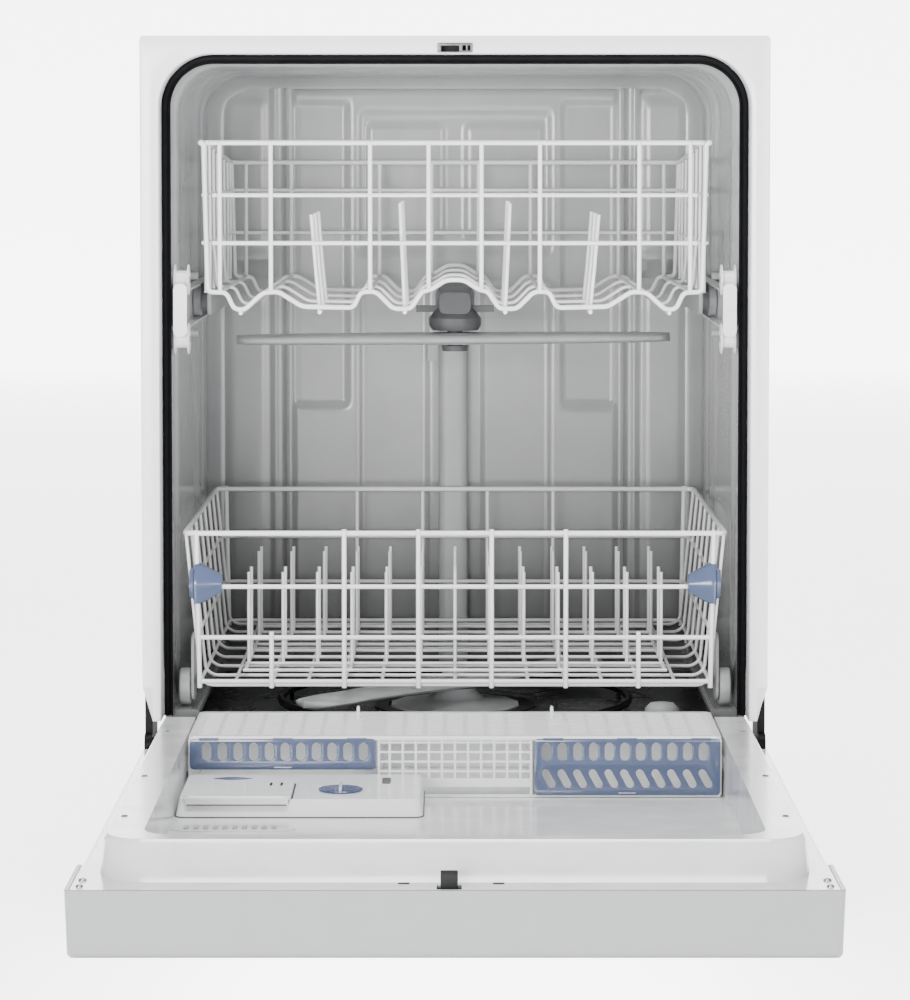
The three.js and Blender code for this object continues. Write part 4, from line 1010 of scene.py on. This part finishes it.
def dispenser():
    """Dispenser face details: lid edge with a painted shadow under its handle, vents, level window, a painted
    shadow round the foot and the cap's pointer.
    """
    x0, x1, y0, y1, top = CUP.values()
    shape = Shape()
    shape.tube([(x0 + 2, y0 - 9.2, top + 1.6), (x1 - 2, y0 - 9.2, top + 1.6)], 2.2, sides=14)
    shape.box(x0 + 1, x1 - 1, y0 - 9, y0 - 5, top + 0.9, top + 3.4)
    make("dispenser_lid_trim", shape, "dispenser_lid", BRIGHT)
    # a dark wire under the lid's handle: painted shadow
    lip = Shape().tube([(x0, y0 - 10, top - 4.1), (x1, y0 - 10, top - 4.1)], 0.7)
    make("dispenser_lid_painted_shadow", lip, "dispenser_lid", CHARCOAL)
    marks = Shape()
    for x in (-164.8, -155.3):
        marks.slab(x, -232, 1.2, 7, top + 2.6, top + 3.3)
    make("dispenser_lid_marks", marks, "dispenser_lid", DARK)
    gap = Shape().tube([(x1 + 4.3, y0 - 4, top + 0.4), (x1 + 4.3, y1 + 5, top + 0.4)], 0.7)
    make("dispenser_lid_gap", gap, "door", DARK)
    window = Shape()
    window.slab(-62, -198, 4, 15, top - 0.6, top + 0.5)
    make("dispenser_indicator", window, "door", CHARCOAL, bevel=0.3)
    # a dark line round the dispenser's foot: painted shadow where it meets the liner
    low, high = (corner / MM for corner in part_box("dispenser_body"))
    outline = rounded(low.x - 0.3, high.x + 0.3, low.y - 0.3, high.y + 0.3, 9)
    foot = Shape().tube([(x, y - FRONT, 166.4) for x, y in outline], 0.6, closed=True, sides=6)
    make("dispenser_foot_painted_shadow", foot, "door", CHARCOAL)
    along = [k / 16 for k in range(17)]
    outline = [(-220 + 36 * t, -186 + 7 * math.sin(math.pi * t)) for t in along]
    outline += [(-220 + 36 * t, -186 - 7 * math.sin(math.pi * t)) for t in along[-2:0:-1]]
    lens = Shape().prism(outline, top - 0.5, top + 0.4)
    make("dispenser_thumb_notch", lens, "door", NAVY, bevel=0.2)
    disc = [(0.1, top + 0.3), (19.5, top + 0.3), (19.6, top + 1.2), (19, top + 1.8), (17, top + 1.9),
            (15, top + 1.3), (0.1, top + 1.1)]
    dial = Shape().turned(CAP["x"], CAP["y"], disc, sides=64)
    for x, y in arc(CAP["x"], CAP["y"], 18.9, 0, 1, 30)[:-1]:
        dial.tube([(x, y, top + 0.5), (x, y, top + 1.7)], 0.8)
    make("rinse_cap_dial", dial, "rinse_cap", NAVY, replaces=["rinse_cap"])
    grip = Shape().slab(CAP["x"], CAP["y"], 1.3, 15.5, top + 1, top + 5.2)
    make("rinse_cap_pointer", grip, "rinse_cap", LINER, bevel=0.5)


def screw(shape, x, y, z, radius):
    """A low domed screw head."""
    shape.turned(x, y, [(0.05, z + 1.5), (radius * 0.5, z + 1.35), (radius * 0.9, z + 0.7), (radius, z + 0.1),
                        (radius, z - 0.8)], sides=24)


def door_trim():
    """Screws, drain dashes and moulded lines of the liner and console."""
    screws = Shape()
    for side in (-1, 1):
        for y in (-90, -330, -520):
            screw(screws, side * 270, y, LEDGE_Z - 0.3, 3.2)
        for y, radius in ((-640, 3.4), (-664, 3.0)):
            screw(screws, side * 292, y, 180.2, radius)
    make("door_screws", screws, "door", STEEL)
    dashes = Shape()
    for k in range(10):
        dashes.slab(-232 + 8.4 * k, -352, 2.2, 6.5, 166.6, 168.0)
    make("liner_drain_dashes", dashes, "door", GREY)
    pill = Shape().capsule(-192, -352, 42, 12, 165.5, 167.2)
    make("liner_drain_pill", pill, "door", LINER, bevel=0.5)
    vents = Shape()
    for x in (-40, 34):
        vents.capsule(x, -652, 3.0, 1.6, 179.6, 180.4)
    vents.tube([(-298, -679.9, 127.9), (298, -679.9, 127.9)], 0.35)
    make("console_marks", vents, "door", DARK)


def button_surrounds():
    """A raised ring round each button."""
    rings = Shape()
    for x in (190, 240):
        rings.ring(x, -630, 126.2, 8.4, 0.5, 40)
    make("button_surrounds", rings, "door", GREY)


def coil_springs():
    """Real coils with hooked ends."""
    turns, steps = 56, 14
    radius, wire = 6.9, 1.1
    for name, side in SIDES:
        near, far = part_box("door_spring_" + name)
        x = side * 270
        z = (near.z + far.z) / 2 / MM
        low, high = near.y / MM - FRONT, far.y / MM - FRONT
        start, end = low + 16, high - 16
        coil = []
        for k in range(turns * steps + 1):
            angle = TAU * k / steps
            y = start + (end - start) * k / (turns * steps)
            coil.append((x + radius * math.cos(angle), y, z + radius * math.sin(angle)))
        hook = [(0, 1.4, -5), (0, 3, 3), (0, 10, 5), (4, 13, 2)]
        hook_low = [(x + a, low + b, z + c) for a, b, c in hook]
        hook_high = [(x + a, high - b, z + c) for a, b, c in hook[::-1]]
        path = filleted(hook_low, 4)[:-1] + coil + filleted(hook_high, 4)[1:]
        shape = Shape().tube(path, wire, sides=6)
        make("spring_coil_" + name, shape, "cabinet", STEEL, replaces=["door_spring_" + name], sharp=70)


def blanket():
    """Sound blanket: quilted felt over the tub's sides and top, stitched in squares."""
    front, back = 50, 556
    square, depth = 84, 5.5
    lines = 54
    centre_z = 600
    rows = []
    for k in range(lines + 1):
        y = front + (back - front) * k / lines
        across = abs(math.sin(math.pi * (y - front) / square))
        section = arch(296.8, 240, 855.6, 60, y, sides=44, corner=12, top=40)
        row = []
        length = 0.0
        previous = section[0]
        for x, _, z in section:
            length += math.hypot(x - previous[0], z - previous[2])
            previous = (x, y, z)
            along = abs(math.sin(math.pi * length / square))
            inset = depth * (1 - 0.9 * min(1.0, along ** 0.5 * across ** 0.5))
            reach = math.hypot(x, z - centre_z)
            row.append((x - inset * x / reach, y, z - inset * (z - centre_z) / reach))
        rows.append(row)
    inner = [arch(284, 240, 843.4, 54, y, sides=44, corner=12, top=40) for y in (back - 2, front + 2)]
    quilt = Shape().sleeve(rows + inner)
    make("blanket_quilt", quilt, "cabinet", FELT, replaces=["sound_blanket"], sharp=80)


def leg_threads():
    """Threads on the levelling legs."""
    pitch = 2.2
    for end, y in (("front", 45), ("back", 525)):
        for name, side in SIDES:
            shape = Shape()
            for z in (8 + pitch * k for k in range(9)):
                shape.turned(side * 265, y, [(4.2, z), (5.6, z + pitch / 2), (4.2, z + pitch)], sides=20)
            make(f"leg_thread_{end}_{name}", shape, "cabinet", STEEL)


def build():
    dress_cad_nodes()
    tub_mouth()
    tub_shell()
    back_panel()
    tub_floor()
    tub_outside()
    gasket()
    strike_recess()
    strike()
    upper_rack()
    lower_rack()
    corner_clips()
    rack_wheels()
    track_wheels()
    spray_arm("mid_spray_arm", 275, low=552, high=564, reach=225, turn=0.09)
    spray_arm("lower_spray_arm", SUMP_Y, low=197, high=207, reach=222, turn=math.pi / 4)
    cutlery_basket()
    basket_lids()
    dispenser()
    door_trim()
    button_surrounds()
    coil_springs()
    blanket()
    leg_threads()
    add_studio()
    add_camera()


build()
